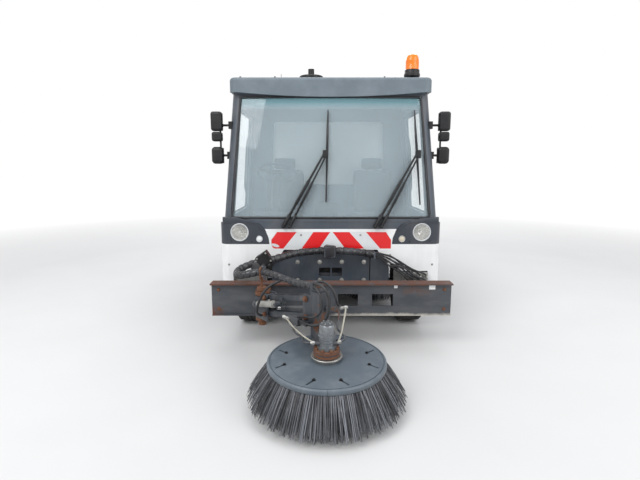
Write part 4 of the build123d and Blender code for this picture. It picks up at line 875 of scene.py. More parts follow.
@dataclass(frozen=True)
class Glass:
    """Thin vehicle glass that lets light through, with dust and a tinted band where it has one."""

    name: str
    tint: Colour = (0.72, 0.84, 0.82)
    clearness: float = 0.8
    band_z: float = 0.0
    band: Colour = (0.25, 0.47, 0.5)

    def make(self) -> Material:
        """Build the material.

        Returns:
            The new material.
        """
        n = Nodes(self.name)
        cloud = n.noise(2.2, 5.0, 0.6)
        veil = n.plus(n.times(cloud, 0.1), 1.0 - self.clearness - 0.05)
        colour: object = self.tint
        if self.band_z > 0:
            height = n.axis(2)
            edge = n.ramp(height, self.band_z - 0.05, self.band_z + 0.02)
            colour = n.blend(edge, self.tint, self.band)
            veil = n.plus(veil, n.times(edge, 0.3))
        n.feed("Base Color", colour)
        n.feed("Alpha", veil)
        n.feed("Roughness", 0.04)
        n.feed("IOR", 1.5)
        n.feed("Specular IOR Level", 0.8)
        return n.material


class Finishes:
    """Every finish that the sweeper's pieces share."""

    def __init__(self) -> None:
        """Make the materials once."""
        self.white = Paint("white_paint", (0.8, 0.81, 0.81), 0.3, dust_share=0.16).make()
        self.red = Paint("red_reflective", (0.7, 0.006, 0.009), 0.3, dust_share=0.05).make()
        self.film = Paint("white_film", (0.68, 0.7, 0.71), 0.34, dust_share=0.2).make()
        self.cab_grey = Paint("cab_grey", (0.052, 0.064, 0.082), 0.42, dust_share=0.12).make()
        self.panel = Paint("panel_grey", (0.027, 0.033, 0.045), 0.4, dust_share=0.1).make()
        self.roof = Moulding("roof_grey", (0.115, 0.145, 0.17), 0.55, fade_and_sheen=(0.2, 0.24, 0.27),
                             fade_and_sheen_share=0.5).make()
        self.frame = Paint("frame_paint", (0.036, 0.042, 0.052), 0.5, dust_share=0.3, rust_share=0.35).make()
        self.rusty = Paint("rusty_paint", (0.05, 0.045, 0.045), 0.6, dust_share=0.2, rust_share=1.0).make()
        self.disc = Paint("disc_paint", (0.088, 0.112, 0.135), 0.38, dust_share=0.55,
                          dust=(0.19, 0.215, 0.235)).make()
        self.black = Moulding("black_plastic", (0.008, 0.008, 0.009), 0.42, fade_and_sheen_share=0.08,
                              shine=0.3).make()
        self.tyre = Moulding("tyre_rubber", (0.022, 0.021, 0.021), 0.8, grain=300.0, fade_and_sheen=(0.12, 0.11, 0.1),
                             fade_and_sheen_share=0.5).make()
        # The spiral guard's grey patches are painted highlight, standing for reflections on its glossy bands.
        self.guard = Moulding("spiral_guard", (0.013, 0.013, 0.016), 0.3, grain=180.0,
                              fade_and_sheen=(0.09, 0.095, 0.105), fade_and_sheen_share=0.5).make()
        self.beam = BeamPaint().make()
        self.cream = Paint("pipe_cream", (0.4, 0.385, 0.32), 0.42, dust=(0.14, 0.12, 0.1), dust_share=0.7,
                           rust_share=0.35).make()
        self.motor = Metal("motor_paint", (0.24, 0.26, 0.28), 0.28, metallic=0.7, tarnish=(0.1, 0.095, 0.09),
                           tarnish_share=0.7, rust_share=0.1).make()
        self.rubber = Moulding("hose_rubber", (0.014, 0.014, 0.016), 0.42, fade_and_sheen_share=0.2, shine=0.4).make()
        self.bristle = BristleStrip().make()
        self.rim = Metal("rim_paint", (0.42, 0.43, 0.45), 0.4, metallic=0.4).make()
        self.cast = Metal("cast_steel", (0.1, 0.1, 0.105), 0.6, metallic=0.5, rust_share=0.3).make()
        self.zinc = Metal("zinc_plate", (0.4, 0.4, 0.385), 0.42, tarnish_share=0.6, rust_share=0.14).make()
        self.chrome = Metal("chrome", (0.8, 0.8, 0.8), 0.12, tarnish_share=0.05).make()
        self.reflector = Metal("reflector", (0.72, 0.71, 0.68), 0.26, tarnish=(0.35, 0.34, 0.31),
                               tarnish_share=0.5).make()
        self.screen = Glass("windscreen_glass", (0.64, 0.78, 0.84), 0.78, band_z=2.185,
                            band=(0.18, 0.36, 0.41)).make()
        self.side_glass = Glass("side_glass", clearness=0.82).make()
        self.lens = Glass("lamp_lens", (0.9, 0.93, 0.95), 0.92).make()
        self.amber = Paint("amber_lens", (0.9, 0.2, 0.006), 0.12, dust_share=0.05).make()
        self.opal = Paint("opal_lens", (0.8, 0.82, 0.82), 0.15, dust_share=0.1).make()
        self.beige_lens = Paint("beige_lens", (0.62, 0.56, 0.44), 0.18, dust_share=0.15).make()
        self.pale = Paint("dial_faces", (0.55, 0.57, 0.58), 0.4, dust_share=0.1).make()
        self.ram = Paint("ram_paint", (0.33, 0.325, 0.3), 0.42, dust=(0.12, 0.11, 0.1), dust_share=0.7,
                         rust_share=0.45).make()
        self.red_lens = Paint("red_lens", (0.45, 0.008, 0.008), 0.12, dust_share=0.05).make()
        self.cloth = Moulding("seat_cloth", (0.03, 0.03, 0.034), 0.9, grain=500.0, relief=0.0006).make()


Steps = tuple[Callable[[Finishes], None], ...]


class Assembly:
    """A sub-assembly of the machine that is made step by step."""

    def steps(self) -> Steps:
        """The methods that make it, in order."""
        return ()

    def build(self, finishes: Finishes) -> None:
        """Make the whole sub-assembly.

        Args:
            finishes: The shared finishes.
        """
        for step in self.steps():
            step(finishes)


# Hoses
def route_points(name: str, points: Sequence[Point]) -> list[Vector]:
    """The smooth line of a hose through its route.

    Args:
        name: The hose's name.
        points: The route's control points.

    Returns:
        Points read from the route's NURBS spline.
    """
    line = add_object(name + "_route", nurbs(name + "_route", points, 3, 40))
    bpy.context.view_layer.update()
    sampled = bpy.data.meshes.new_from_object(line.evaluated_get(bpy.context.evaluated_depsgraph_get()))
    path = [vertex.co.copy() for vertex in sampled.vertices]
    drop(line)
    return path


def path_length(path: Sequence[Vector]) -> float:
    """The length of a line of points."""
    return sum((b - a).length for a, b in zip(path, path[1:]))


def evenly(path: Sequence[Vector], step: float) -> list[Vector]:
    """The same line with its points at even distances.

    Args:
        path: Points along the line.
        step: The distance between the new points.

    Returns:
        The new points, with both ends kept.
    """
    count = max(2, round(path_length(path) / step))
    goal = path_length(path) / count
    points, walked = [path[0].copy()], 0.0
    for a, b in zip(path, path[1:]):
        run = (b - a).length
        while run > 0 and walked + run >= goal * len(points) - 1e-9 and len(points) < count:
            points.append(a.lerp(b, (goal * len(points) - walked) / run))
        walked += run
    points.append(path[-1].copy())
    return points


@dataclass
class Hose:
    """One hose or wrapped bundle along its route.

    A wrapped bundle carries a spiral guard: a strip of the given pitch with a groove between its turns.
    """

    name: str
    route: Sequence[Point]
    radius: float
    stiffness: str = "stiff"
    sides: int = 20
    pitch: float = 0.0
    groove: float = 0.0
    turns: int = 1

    def relief(self, along: float, angle: float) -> float:
        """How far the surface lies inside the outer radius.

        Args:
            along: The distance along the hose.
            angle: The angle round it.

        Returns:
            The depth in metres.
        """
        if not self.pitch:
            return 0.0
        phase = (along / self.pitch + self.turns * angle / (2 * math.pi)) % 1.0
        band = min(1.0, 1.25 * math.sin(math.pi * phase) ** 0.55)
        swell = 0.12 * math.sin(along * 23.0 + angle) + 0.08 * math.sin(along * 61.0 + 2.0 * angle)
        return self.groove * (1.0 - band + swell + 0.1)

    def build(self) -> tuple[Obj, list[Vector]]:
        """Sweep the hose's round section along its smooth line.

        Returns:
            The hose and the line that it follows.
        """
        step = self.pitch / 14 if self.pitch else max(0.006, self.radius * 0.8)
        path = evenly(route_points(self.name, self.route), step)
        form = bmesh.new()
        normal = Vector((0, 0, 1))
        rings, walked = [], 0.0
        for i, point in enumerate(path):
            ahead = path[min(i + 1, len(path) - 1)] - path[max(i - 1, 0)]
            ahead.normalize()
            normal = (normal - ahead * normal.dot(ahead)).normalized()
            side = ahead.cross(normal)
            if i:
                walked += (point - path[i - 1]).length
            ring = []
            for k in range(self.sides):
                angle = 2 * math.pi * k / self.sides
                out = normal * math.cos(angle) + side * math.sin(angle)
                ring.append(form.verts.new(point + out * (self.radius - self.relief(walked, angle))))
            rings.append(ring)
        for low, high in zip(rings, rings[1:]):
            for k in range(self.sides):
                following = (k + 1) % self.sides
                form.faces.new((low[k], low[following], high[following], high[k]))
        form.faces.new(rings[0][::-1])
        form.faces.new(rings[-1])
        bmesh.ops.recalc_face_normals(form, faces=form.faces)
        return smooth(from_form(self.name, form), 50), path

    def lay(self, body: str, material: Material, stands_for: Sequence[str] = ()) -> None:
        """Make the hose on one body.

        Args:
            body: The body that carries it.
            material: Its finish.
            stands_for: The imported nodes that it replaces.
        """
        obj, path = self.build()
        dress(obj, body, material, stands_for)

    def lay_across(self, bodies: Sequence[str], material: Material,
                   stands_for: Sequence[str] = ()) -> None:
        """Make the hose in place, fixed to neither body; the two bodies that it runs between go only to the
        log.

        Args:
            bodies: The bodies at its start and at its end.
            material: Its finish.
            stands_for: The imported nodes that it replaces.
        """
        obj, path = self.build()
        obj.data.materials.append(material)
        if stands_for:
            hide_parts(*stands_for)
        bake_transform(obj)
        log.info("%s bends between %s and %s", obj.name, *bodies)


@dataclass
class HoseBundles(Assembly):
    """The wrapped bundle over the nose and along the arm, and the single hoses that leave it."""

    bundle_radius: float = 0.035
    wrap_pitch: float = 0.058
    wrap_groove: float = 0.0085
    trunk_y: float = NOSE_Y - 0.068
    clamp_x: float = 0.395
    box_x: float = -0.59
    box_y: float = NOSE_Y - 0.222
    box_half: float = 0.045
    fan_radius: float = 0.008
    thin_radius: float = 0.0085
    coupler_x: float = 0.676 + 0.04
    coupler_z: float = 0.549
    coupler_step: float = 0.056
    coupler_rise: float = 0.052
    bundle_sides: int = 28

    def trunk(self, finishes: Finishes) -> None:
        """The bundle from the plate's clamp, over the hook, to the clamp box on the beam."""
        y = self.trunk_y
        points = [
            (self.clamp_x - 0.0005, y, 0.813), (0.262, y - 0.004, 0.832), (0.122, y, 0.845),
            (-0.02, y + 0.004, 0.845), (-0.16, y + 0.002, 0.842), (-0.295, y - 0.02, 0.831),
            (-0.42, y - 0.078, 0.811), (self.box_x + self.box_half + 0.0005, self.box_y, 0.788)]
        hose = Hose("bundle_trunk", points, self.bundle_radius, sides=self.bundle_sides,
                    pitch=self.wrap_pitch, groove=self.wrap_groove)
        hose.lay("chassis", finishes.guard, ["hose_trunk"])

    def loop(self, finishes: Finishes) -> None:
        """The slack loop from the clamp box round to the clamp above the arm's pivot."""
        turn = 30.0
        middle = Vector((-0.668, (self.box_y + ARM_PIVOT.y) / 2, 0.0))
        reach = (self.box_y - ARM_PIVOT.y) / 2 / math.cos(math.radians(turn / 2))
        points = [(self.box_x - self.box_half - 0.0005, self.box_y, 0.7765)]
        for i, z in enumerate((0.757, 0.734, 0.715, 0.706, 0.711, 0.729)):
            angle = math.radians(90 + (i + 0.5) * turn)
            points.append((middle.x + reach * math.cos(angle), middle.y + reach * math.sin(angle), z))
        points.append((ARM_PIVOT.x - 0.0165, ARM_PIVOT.y, 0.7515))
        hose = Hose("bundle_loop", points, self.bundle_radius * 0.95, sides=self.bundle_sides,
                    pitch=self.wrap_pitch * 0.9, groove=self.wrap_groove)
        hose.lay("chassis", finishes.guard, ["hose_slack"])

    def arm_run(self, finishes: Finishes) -> None:
        """The bundle from the pivot's clamp along the arm to the clamp on the box post, in two stretches."""
        inner = [(0.012, 0.0, 0.7525), (0.066, -0.004, 0.757), (0.132, -0.012, 0.764), (0.2, -0.014, 0.766),
                 (0.27, -0.013, 0.7625), (0.338, -0.006, 0.758)]
        outer = [(0.338, -0.006, 0.758), (0.402, 0.0006, 0.7538), (0.47, 0.002, 0.75), (0.55, -0.002, 0.757),
                 (0.612, -0.001, 0.764), (0.672, 0.0, 0.7705)]
        stretches = [
            # name, route along the arm, bodies, where the bend starts and ends, nodes
            ("bundle_arm_inner", inner, ("swing_bracket", "lower_link"), (0.085, 0.3), ()),
            ("bundle_arm_outer", outer, ("lower_link", "brush_head"), (0.338, 0.52), ("hose_arm",)),
        ]
        for name, route, bodies, (start, end), nodes in stretches:
            hose = Hose(name, [on_arm(*p) for p in route], self.bundle_radius * 0.77, sides=24,
                        pitch=self.wrap_pitch, groove=self.wrap_groove)
            hose.lay_across(bodies, finishes.guard, nodes)

    def fan(self, finishes: Finishes) -> None:
        """The single hoses from the clamp down to the couplers, each with its pressed fitting."""
        fittings = []
        for row in range(2):
            for i in range(4):
                x = self.coupler_x + i * self.coupler_step
                z = self.coupler_z + row * self.coupler_rise
                spread = (i - 1.5) * 0.013
                x0, y0, z0 = self.clamp_x + 0.016, self.trunk_y - 0.012 + 0.02 * row, 0.806 + spread
                tip = Vector((x, NOSE_Y - 0.104, z + 0.01))
                mid_drop = 0.055 + 0.02 * (3 - i) + 0.012 * row
                route = [(x0, y0, z0), (x0 + 0.05, y0 - 0.014, z0 - 0.002),
                         (x0 + 0.38 * (x - x0), NOSE_Y - 0.112 - 0.01 * row, z0 - mid_drop * 0.62),
                         (x0 + 0.7 * (x - x0), NOSE_Y - 0.142 - 0.012 * (i % 2), z + 0.118 - 0.012 * i),
                         (x - 0.01, NOSE_Y - 0.146, z + 0.042), tip]
                hose = Hose(f"coupler_hose_{row}_{i}", route, self.fan_radius, "medium", 12)
                hose.lay("chassis", finishes.rubber)
                fittings.append(facing(tip, Vector((x, NOSE_Y - 0.074, z)) - tip))
        sleeve = spun("sleeve", [
            (0.0, -0.022), (0.0088, -0.022), (0.0095, -0.019), (0.0095, 0.004), (0.0075, 0.006),
            (0.0075, 0.01), (0.0125, 0.011), (0.0125, 0.021), (0.0078, 0.022), (0.0078, 0.034),
            (0.0, 0.034)], 12)
        sleeve.data.materials.append(finishes.zinc)
        dress(smooth(repeat("coupler_sleeves", sleeve, fittings), 35), "chassis", finishes.zinc)

    def head_hoses(self, finishes: Finishes) -> None:
        """The single hoses that loop in front of the box post to its fittings."""
        y = BRUSH_CENTRE.y + 0.08
        routes = [
            # name, radius, points
            ("head_loop_left", self.thin_radius * 1.2, [
                (-0.144, y + 0.1455, 0.796), (-0.112, y + 0.074, 0.815), (-0.068, y + 0.01, 0.798),
                (-0.038, y - 0.006, 0.742), (-0.033, y - 0.008, 0.67), (-0.052, y - 0.006, 0.59),
                (-0.112, y + 0.018, 0.53), (-0.185, y + 0.082, 0.512), (-0.2455, y + 0.1495, 0.52)]),
            ("head_loop_right", self.thin_radius, [
                (-0.13, y + 0.142, 0.802), (-0.086, y + 0.09, 0.828), (-0.03, y + 0.034, 0.812),
                (0.002, y + 0.006, 0.758), (0.012, y + 0.01, 0.706), (0.024, y + 0.052, 0.674),
                (0.0301, y + 0.091, 0.6505)]),
            ("head_loop_inner", self.thin_radius * 0.85, [
                (-0.152, y + 0.1475, 0.78), (-0.128, y + 0.06, 0.786), (-0.094, y + 0.01, 0.748),
                (-0.084, y + 0.002, 0.68), (-0.1, y + 0.014, 0.614), (-0.15, y + 0.06, 0.57),
                (-0.218, y + 0.13, 0.56), (-0.264, y + 0.1745, 0.537)]),
        ]
        for name, radius, points in routes:
            Hose(name, points, radius, "medium", 14).lay("brush_head", finishes.rubber)

    def link_hose(self, finishes: Finishes) -> None:
        """The spiral hose that hangs from the bundle in front of the lift ram to the lower link."""
        points = [(0.3, -0.02, 0.738), (0.292, -0.082, 0.728), (0.25, -0.136, 0.672), (0.204, -0.152, 0.594),
                  (0.16, -0.154, 0.512), (0.132, -0.138, 0.444), (0.119, -0.083, 0.424)]
        hose = Hose("link_hose", [on_arm(*p) for p in points], 0.0105, "medium", 16, 0.013, 0.0022)
        hose.lay_across(("swing_bracket", "lower_link"), finishes.rubber)

    def clamps(self, finishes: Finishes) -> None:
        """The dark cover of the clamp box, the wrap on the hook and the ties round the bundle."""
        middle = Vector((self.box_x - 0.006, self.box_y, 0.8))
        place = Matrix.Translation(middle) @ turn_about("Y", math.radians(-34))
        half, deep = 0.06, 0.046
        cover = add_box("clamp_box_cover", (-half, -deep, -half * 0.92), (half, deep, half * 0.92), 0.006, 3)
        with editing(cover) as mesh:
            for face in mesh.faces:
                face.select = face.normal.y < -0.9 and face.calc_area() > 0.004
            bpy.ops.mesh.inset(thickness=0.012, depth=-0.003)
            bpy.ops.mesh.inset(thickness=0.003, depth=0.0)
        dress(smooth(placed(cover, place), 30), "chassis", finishes.black)
        bolts = [place @ facing((dx, -deep, dz), (0, -1, 0)) for dx in (-0.046, 0.046)
                 for dz in (-0.041, 0.041)]
        dress(hex_bolts("clamp_box_bolts", bolts, 0.006, 0.004), "chassis", finishes.zinc)
        flap = plate("clamp_flap", [(-0.072, 0.0), (0.03, 0.0), (0.052, -0.06), (0.018, -0.098),
                                    (-0.06, -0.09), (-0.094, -0.046)], -0.003, 0.003, 0.0015)
        with editing(flap, "VERT") as mesh:
            for vertex in mesh.verts:
                vertex.co.y += 1.6 * vertex.co.x * vertex.co.x - 2.8 * vertex.co.z * vertex.co.z
        spot = Matrix.Translation((self.box_x - 0.034, self.box_y - 0.04, 0.772))
        dress(smooth(placed(flap, spot), 40), "chassis", finishes.rubber)
        wrap = add_box("hook_wrap", (-0.068, self.trunk_y - 0.05, 0.778),
                       (0.05, self.trunk_y + 0.038, 0.898), 0.024, 4)
        with editing(wrap, "VERT") as mesh:
            for vertex in mesh.verts:
                vertex.co.z += 0.006 * math.sin(vertex.co.x * 60.0) * math.cos(vertex.co.y * 45.0)
        dress(smooth(wrap, 45), "chassis", finishes.guard)
        r = self.bundle_radius
        tie = spun("tie", [(r - 0.003, -0.0035), (r + 0.001, -0.003), (r + 0.001, 0.003),
                           (r - 0.003, 0.0035)], 28, closed=True)
        lock = add_box("lock", (r - 0.002, -0.006, -0.005), (r + 0.006, 0.006, 0.005), 0.001)
        spots = ((0.318, -0.002, 0.8245), (0.118, 0.001, 0.8435), (-0.105, 0.003, 0.8435),
                 (-0.236, -0.01, 0.836))
        places = [facing((x, self.trunk_y + dy, z), (1, 0, 0.03)) for x, dy, z in spots]
        dress(smooth(repeat("bundle_ties", join("tie", [tie, lock]), places), 30), "chassis", finishes.black)

    def steps(self) -> Steps:
        """The hoses, then their clamps and ties."""
        return self.trunk, self.loop, self.arm_run, self.fan, self.head_hoses, self.link_hose, self.clamps


@dataclass
class PlateBrush(Assembly):
    """One plate brush: its disc, rim, hub plate and the rings of flat bristles, about its own axis."""

    name: str
    place: Matrix
    disc_radius: float
    tip_radius: float
    tip_drop: float
    hub_radius: float
    hub_height: float
    ring_strands: int
    ring_count: int = 3
    root_step: float = 0.016
    tip_step: float = 0.036
    seed: int = 23
    rim_drop: float = 0.034
    pair_spread: float = 19.0
    slot_lean: float = 21.0

    def slots(self) -> list[Matrix]:
        """The places of the eight slots, in four pairs that spread outwards.

        Returns:
            Each slot's middle, with X along it.
        """
        circle = Matrix.Translation((self.disc_radius * 0.8, 0, 0))
        turns = [(math.radians(i * 90 + sign * self.pair_spread), math.radians(sign * self.slot_lean))
                 for i in range(4) for sign in (-1, 1)]
        return [turn_about("Z", angle) @ circle @ turn_about("Z", lean) for angle, lean in turns]

    def disc(self, finishes: Finishes) -> None:
        """The disc with its rolled rim, the groove inside it, its joint line and its slots."""
        r = self.disc_radius
        profile = [(0.0, 0.0), (r * 0.7, 0.0), (r - 0.024, 0.0), (r - 0.0225, -0.005), (r - 0.018, -0.005),
                   (r - 0.0155, 0.0004), (r - 0.01, 0.0002), (r - 0.005, -0.0025), (r - 0.0012, -0.0075),
                   (r, -0.013), (r, -0.028), (r - 0.002, -0.0325), (r - 0.006, -0.034), (r - 0.06, -0.034),
                   (r - 0.062, -0.012), (0.0, -0.01)]
        disc = spun(self.name + "_disc", profile, 96)
        half = r * 0.095
        cutters = [placed(add_box("slot", (-half, -0.007, -0.03), (half, 0.007, 0.03), 0.006, 3), spot)
                   for spot in self.slots()]
        seam = add_box("seam", (r - 0.015, -0.0012, -0.04), (r + 0.004, 0.0012, 0.01))
        cutters.append(placed(seam, turn_about("Z", math.radians(-90))))
        cutter = join("slots", cutters)
        apply_modifier(disc, "BOOLEAN", operation="DIFFERENCE", object=cutter, solver="EXACT")
        drop(cutter)
        dress(smooth(placed(disc, self.place), 32), self.name, finishes.disc, [self.name])

    def hub(self, finishes: Finishes) -> None:
        """The plated hub plate under the motor and the screws in the slots."""
        r, h = self.hub_radius, self.hub_height
        profile = [(0.0, h), (r - 0.012, h), (r - 0.0025, h), (r, h - 0.0025), (r, h - 0.0095),
                   (r - 0.0015, h - 0.011), (r - 0.016, h - 0.0115), (r - 0.018, 0.0005), (0.0, 0.0005)]
        hub = spun(self.name + "_hub_plate", profile, 64, matrix=self.place)
        dress(smooth(hub, 35), self.name, finishes.zinc)
        inner = Matrix.Translation((-self.disc_radius * 0.085, 0, 0))
        places = [self.place @ spot @ inner for spot in self.slots()]
        dress(hex_bolts(self.name + "_screws", places, 0.009, 0.008, 1.4), self.name, finishes.black)

    def bristles(self, finishes: Finishes) -> None:
        """The flat bristles, ring by ring, evenly spread, nearly straight and of uneven length."""
        rng = random.Random(self.seed)
        form = bmesh.new()
        tone = form.faces.layers.float.new("tone")
        for ring in range(self.ring_count):
            root = self.disc_radius - 0.01 - ring * self.root_step
            reach = self.tip_radius - ring * self.tip_step
            for i in range(self.ring_strands):
                angle = 2 * math.pi * (i + rng.uniform(-0.45, 0.45)) / self.ring_strands
                short = rng.choice((1.0, 0.99, 0.97, 0.94, 0.88))
                out = (reach - root) * rng.uniform(0.88, 1.0) * short
                down = (self.tip_drop - self.rim_drop) * rng.uniform(0.95, 1.0) * short
                shade = rng.random() ** 2.1
                self.strand(form, tone, shade, angle, root + rng.uniform(-0.006, 0.004), out, down,
                            rng.gauss(0.0, 0.032), rng.uniform(-0.5, 0.5))
        obj = from_form(self.name + "_bristles", form)
        dress(smooth(placed(obj, self.place), 40), self.name, finishes.bristle)

    def strand(self, form: bmesh.types.BMesh, tone: object, shade: float, angle: float, root: float,
               out: float, down: float, spread: float, twist: float, width: float = 0.0052,
               thick: float = 0.0021) -> None:
        """One flat bristle: a slightly bent strip from the rim to its tip.

        Args:
            form: The mesh that it is added to.
            tone: The mesh's layer of tones.
            shade: Its own tone, from 0 to 1.
            angle: Its angle round the brush.
            root: The radius where it starts.
            out: How far its tip lies outside its root.
            down: How far its tip lies below the rim.
            spread: The angle that it strays sideways.
            twist: The angle that it is turned about its own length.
            width: Its width.
            thick: Its thickness.
        """
        radial = Vector((math.cos(angle), math.sin(angle), 0))
        across = Vector((-math.sin(angle), math.cos(angle), 0))
        corners = ((-1, -1), (1, -1), (1, 1), (-1, 1))
        rows = []
        for step in range(4):
            t = step / 3
            bow = 0.009 * math.sin(math.pi * t)
            point = radial * (root + out * t + bow * 0.5) + across * ((out + down) * spread * t)
            point.z = -self.rim_drop + 0.003 - down * t + bow * 0.4
            flat = (across * math.cos(twist) + radial * math.sin(twist)) * width / 2
            deep = (radial * math.cos(twist) - across * math.sin(twist)) * thick / 2
            rows.append([form.verts.new(point + flat * u + deep * v) for u, v in corners])
        faces = [form.faces.new((low[k], high[k], high[(k + 1) % 4], low[(k + 1) % 4]))
                 for low, high in zip(rows, rows[1:]) for k in range(4)]
        faces.append(form.faces.new(rows[0]))
        faces.append(form.faces.new(rows[-1][::-1]))
        for face in faces:
            face[tone] = shade

    def steps(self) -> Steps:
        """The disc, its hub and its bristles."""
        return self.disc, self.hub, self.bristles


@dataclass
class BrushMotor(Assembly):
    """The hydraulic motor on the front brush, with its flange ring, ports and steel pipes."""

    ring_radius: float = 0.089
    body_radius: float = 0.052
    top: float = 0.262

    def motor(self, finishes: Finishes) -> None:
        """The motor's turned body with its domed cap, seams and cast flange."""
        r = self.body_radius + 0.0006
        top = self.top
        profile = [(0.0, top + 0.0006), (r - 0.034, top + 0.0006), (r - 0.016, top - 0.004),
                   (r - 0.006, top - 0.014), (r - 0.0025, top - 0.026), (r - 0.0025, 0.1865),
                   (r + 0.005, 0.1855), (r + 0.0052, 0.171), (r, 0.17), (r, 0.152), (r - 0.0012, 0.1512),
                   (r - 0.0012, 0.149), (r, 0.148), (r, 0.128), (r - 0.0012, 0.1272), (r - 0.0012, 0.1252),
                   (r, 0.1242), (r, 0.103), (0.0648, 0.1025), (0.0648, 0.0785), (0.0, 0.0785)]
        motor = spun("brush_motor_body", profile, 56, matrix=BRUSH)
        dress(smooth(motor, 30), "brush_head", finishes.motor)
        ring = self.ring_radius
        rim, groove = ring + 0.0006, ring - 0.004
        profile = [(0.0, 0.0775), (groove, 0.0775), (rim, 0.074), (rim, 0.06), (groove, 0.0585),
                   (groove, 0.054), (rim, 0.0525), (rim, 0.0345), (ring - 0.002, 0.0326), (0.0, 0.0326)]
        flange = spun("brush_motor_flange", profile, 64, matrix=BRUSH)
        dress(smooth(flange, 30), "brush_head", finishes.rusty)
        places = [BRUSH @ turn_about("Z", math.radians(22.5 + i * 45))
                  @ Matrix.Translation((ring - 0.014, 0, 0.0775)) for i in range(8)]
        dress(hex_bolts("brush_motor_bolts", places, 0.011, 0.0125, 1.25), "brush_head", finishes.rusty)
        cap_places = [BRUSH @ turn_about("Z", math.radians(i * 60 + 10))
                      @ Matrix.Translation((0.031, 0, top - 0.0035)) for i in range(6)]
        dress(hex_bolts("brush_motor_cap_bolts", cap_places, 0.0055, 0.0035, 1.2), "brush_head",
              finishes.zinc)

    def pipes(self, finishes: Finishes) -> None:
        """The two bent steel pipes to the motor's ports, with their nuts."""
        manifold_x = ARM_REACH - 0.178
        start = on_arm(manifold_x - 0.062, -0.134, 0.521)
        boss = on_arm(manifold_x - 0.04, -0.112, 0.512)
        left = BRUSH @ Vector((-0.078, -0.018, 0.12))
        right = BRUSH @ Vector((0.07, -0.018, 0.124))
        post = Vector((ARM_PIVOT.x + ARM_DX, ARM_PIVOT.y + ARM_DY, 0))
        elbow = Vector((post.x + 0.13, post.y - 0.034, 0.628))
        tip = elbow + Vector((0.046, -0.012, 0.012))
        left_route = [start, start + Vector((0.022, -0.01, -0.012)), Vector((-0.296, -2.468, 0.474)),
                      left + Vector((-0.052, 0.014, 0.02)), left]
        right_route = [tip, tip + Vector((0.004, -0.016, -0.004)), tip + Vector((-0.012, -0.06, -0.07)),
                       right + Vector((0.022, 0.004, 0.034)), right]
        for name, points in (("motor_pipe_left", left_route), ("motor_pipe_right", right_route)):
            dress(bent_bar(name, points, 0.0062, 5), "brush_head", finishes.cream)
        nut = join("nut", [add_rod("nut", (0, 0, -0.011), (0, 0, 0.011), 0.0145, 6, bevel=0.0015),
                           add_rod("tail", (0, 0, -0.019), (0, 0, 0.019), 0.0105, 16, bevel=0.001)])
        places = [facing(left + Vector((-0.012, 0, 0.001)), (1, 0, 0)),
                  facing(right + Vector((0.01, 0, 0.003)), (1, 0, 0.4)), facing(start, (1, -0.4, -0.5)),
                  facing(boss.lerp(start, 0.45), start - boss), facing(elbow.lerp(tip, 0.35), tip - elbow),
                  facing(tip, tip - elbow)]
        nuts = repeat("nuts", nut, places)
        arms = [add_rod("arm", boss, start, 0.0125, 18, 0.002), add_rod("arm", elbow, tip, 0.012, 18, 0.002)]
        dress(smooth(join("motor_pipe_nuts", [nuts, *arms]), 30), "brush_head", finishes.zinc)

    def steps(self) -> Steps:
        """The motor, then its pipes."""
        return self.motor, self.pipes


@dataclass
class NoseStripes(Assembly):
    """The red reflective bars on the white nose, with their screws."""

    proud: float = 0.0007

    def bars(self, finishes: Finishes) -> None:
        """The four slanting bars of reflective film."""
        y0, y1 = NOSE_Y - self.proud, NOSE_Y + 0.0004
        top, low = 1.0095, 0.853
        outlines = [
            # corners in X and Z, from the top left round
            [(-0.502, top), (-0.318, top), (-0.445, low), (-0.524, low), (-0.546, 0.864), (-0.556, 0.892),
             (-0.556, 0.935)],
            [(-0.162, top), (-0.005, top), (-0.109, low), (-0.273, low)],
            [(0.018, top), (0.174, top), (0.315, low), (0.137, low)],
            [(0.33, top), (0.517, top), (0.566, 0.935), (0.566, low), (0.465, low)],
        ]
        film = plate("nose_film", [
            (-0.506, 1.013), (0.521, 1.013), (0.57, 0.937), (0.57, 0.85), (-0.52, 0.85), (-0.56, 0.88),
            (-0.56, 0.937)], NOSE_Y - self.proud * 0.45, y1, 0.0001, 1)
        dress(film, "chassis", finishes.film)
        pieces = [plate(f"stripe_{i}", outline, y0, y1, 0.0002, 1) for i, outline in enumerate(outlines)]
        dress(join("nose_stripes", pieces), "chassis", finishes.red)
        chip = [(-0.52 + 0.038 * math.cos(a), 0.883 + 0.015 * math.sin(a) - 0.01 * math.cos(a))
                for a in (2 * math.pi * i / 20 for i in range(20))]
        dress(plate("stripe_chip", chip, y0 - 0.0003, y1, 0.0001, 1), "chassis", finishes.film)

    def screws(self, finishes: Finishes) -> None:
        """The screws that hold the nose panel and the stripe plate."""
        spots = [(-0.278, 0.982), (0.279, 0.982), (0.561, 0.792), (-0.96, 0.7), (0.96, 0.7)]
        places = [facing((x, NOSE_Y, z), (0, -1, 0)) for x, z in spots]
        head = spun("screw", [(0.0, 0.0042), (0.0035, 0.004), (0.0065, 0.0026), (0.0078, 0.0006),
                              (0.011, 0.0004), (0.0112, -0.0006), (0.0, -0.0006)], 16)
        dress(smooth(repeat("nose_screws", head, places), 40), "chassis", finishes.zinc)

    def steps(self) -> Steps:
        """The stripes, then the screws."""
        return self.bars, self.screws


def half_width_at(z: float) -> float:
    """Half of the cab's width at a height: it narrows upwards from the waist."""
    return WAIST_HALF_WIDTH - (z - WAIST_Z) * 0.087 / GLASS_RISE


def screen_y(x: float, z: float) -> float:
    """Where the windscreen's outer face lies: it leans back and bulges forwards in the middle.

    Args:
        x: The place across the cab.
        z: The height.

    Returns:
        The Y of the glass.
    """
    half = half_width_at(z) - 0.095
    bulge = SCREEN_BULGE * max(0.0, 1.0 - (x / half) ** 2)
    return NOSE_Y + 0.022 + (z - WAIST_Z) * 0.17 / GLASS_RISE + SCREEN_BULGE * 0.35 - bulge


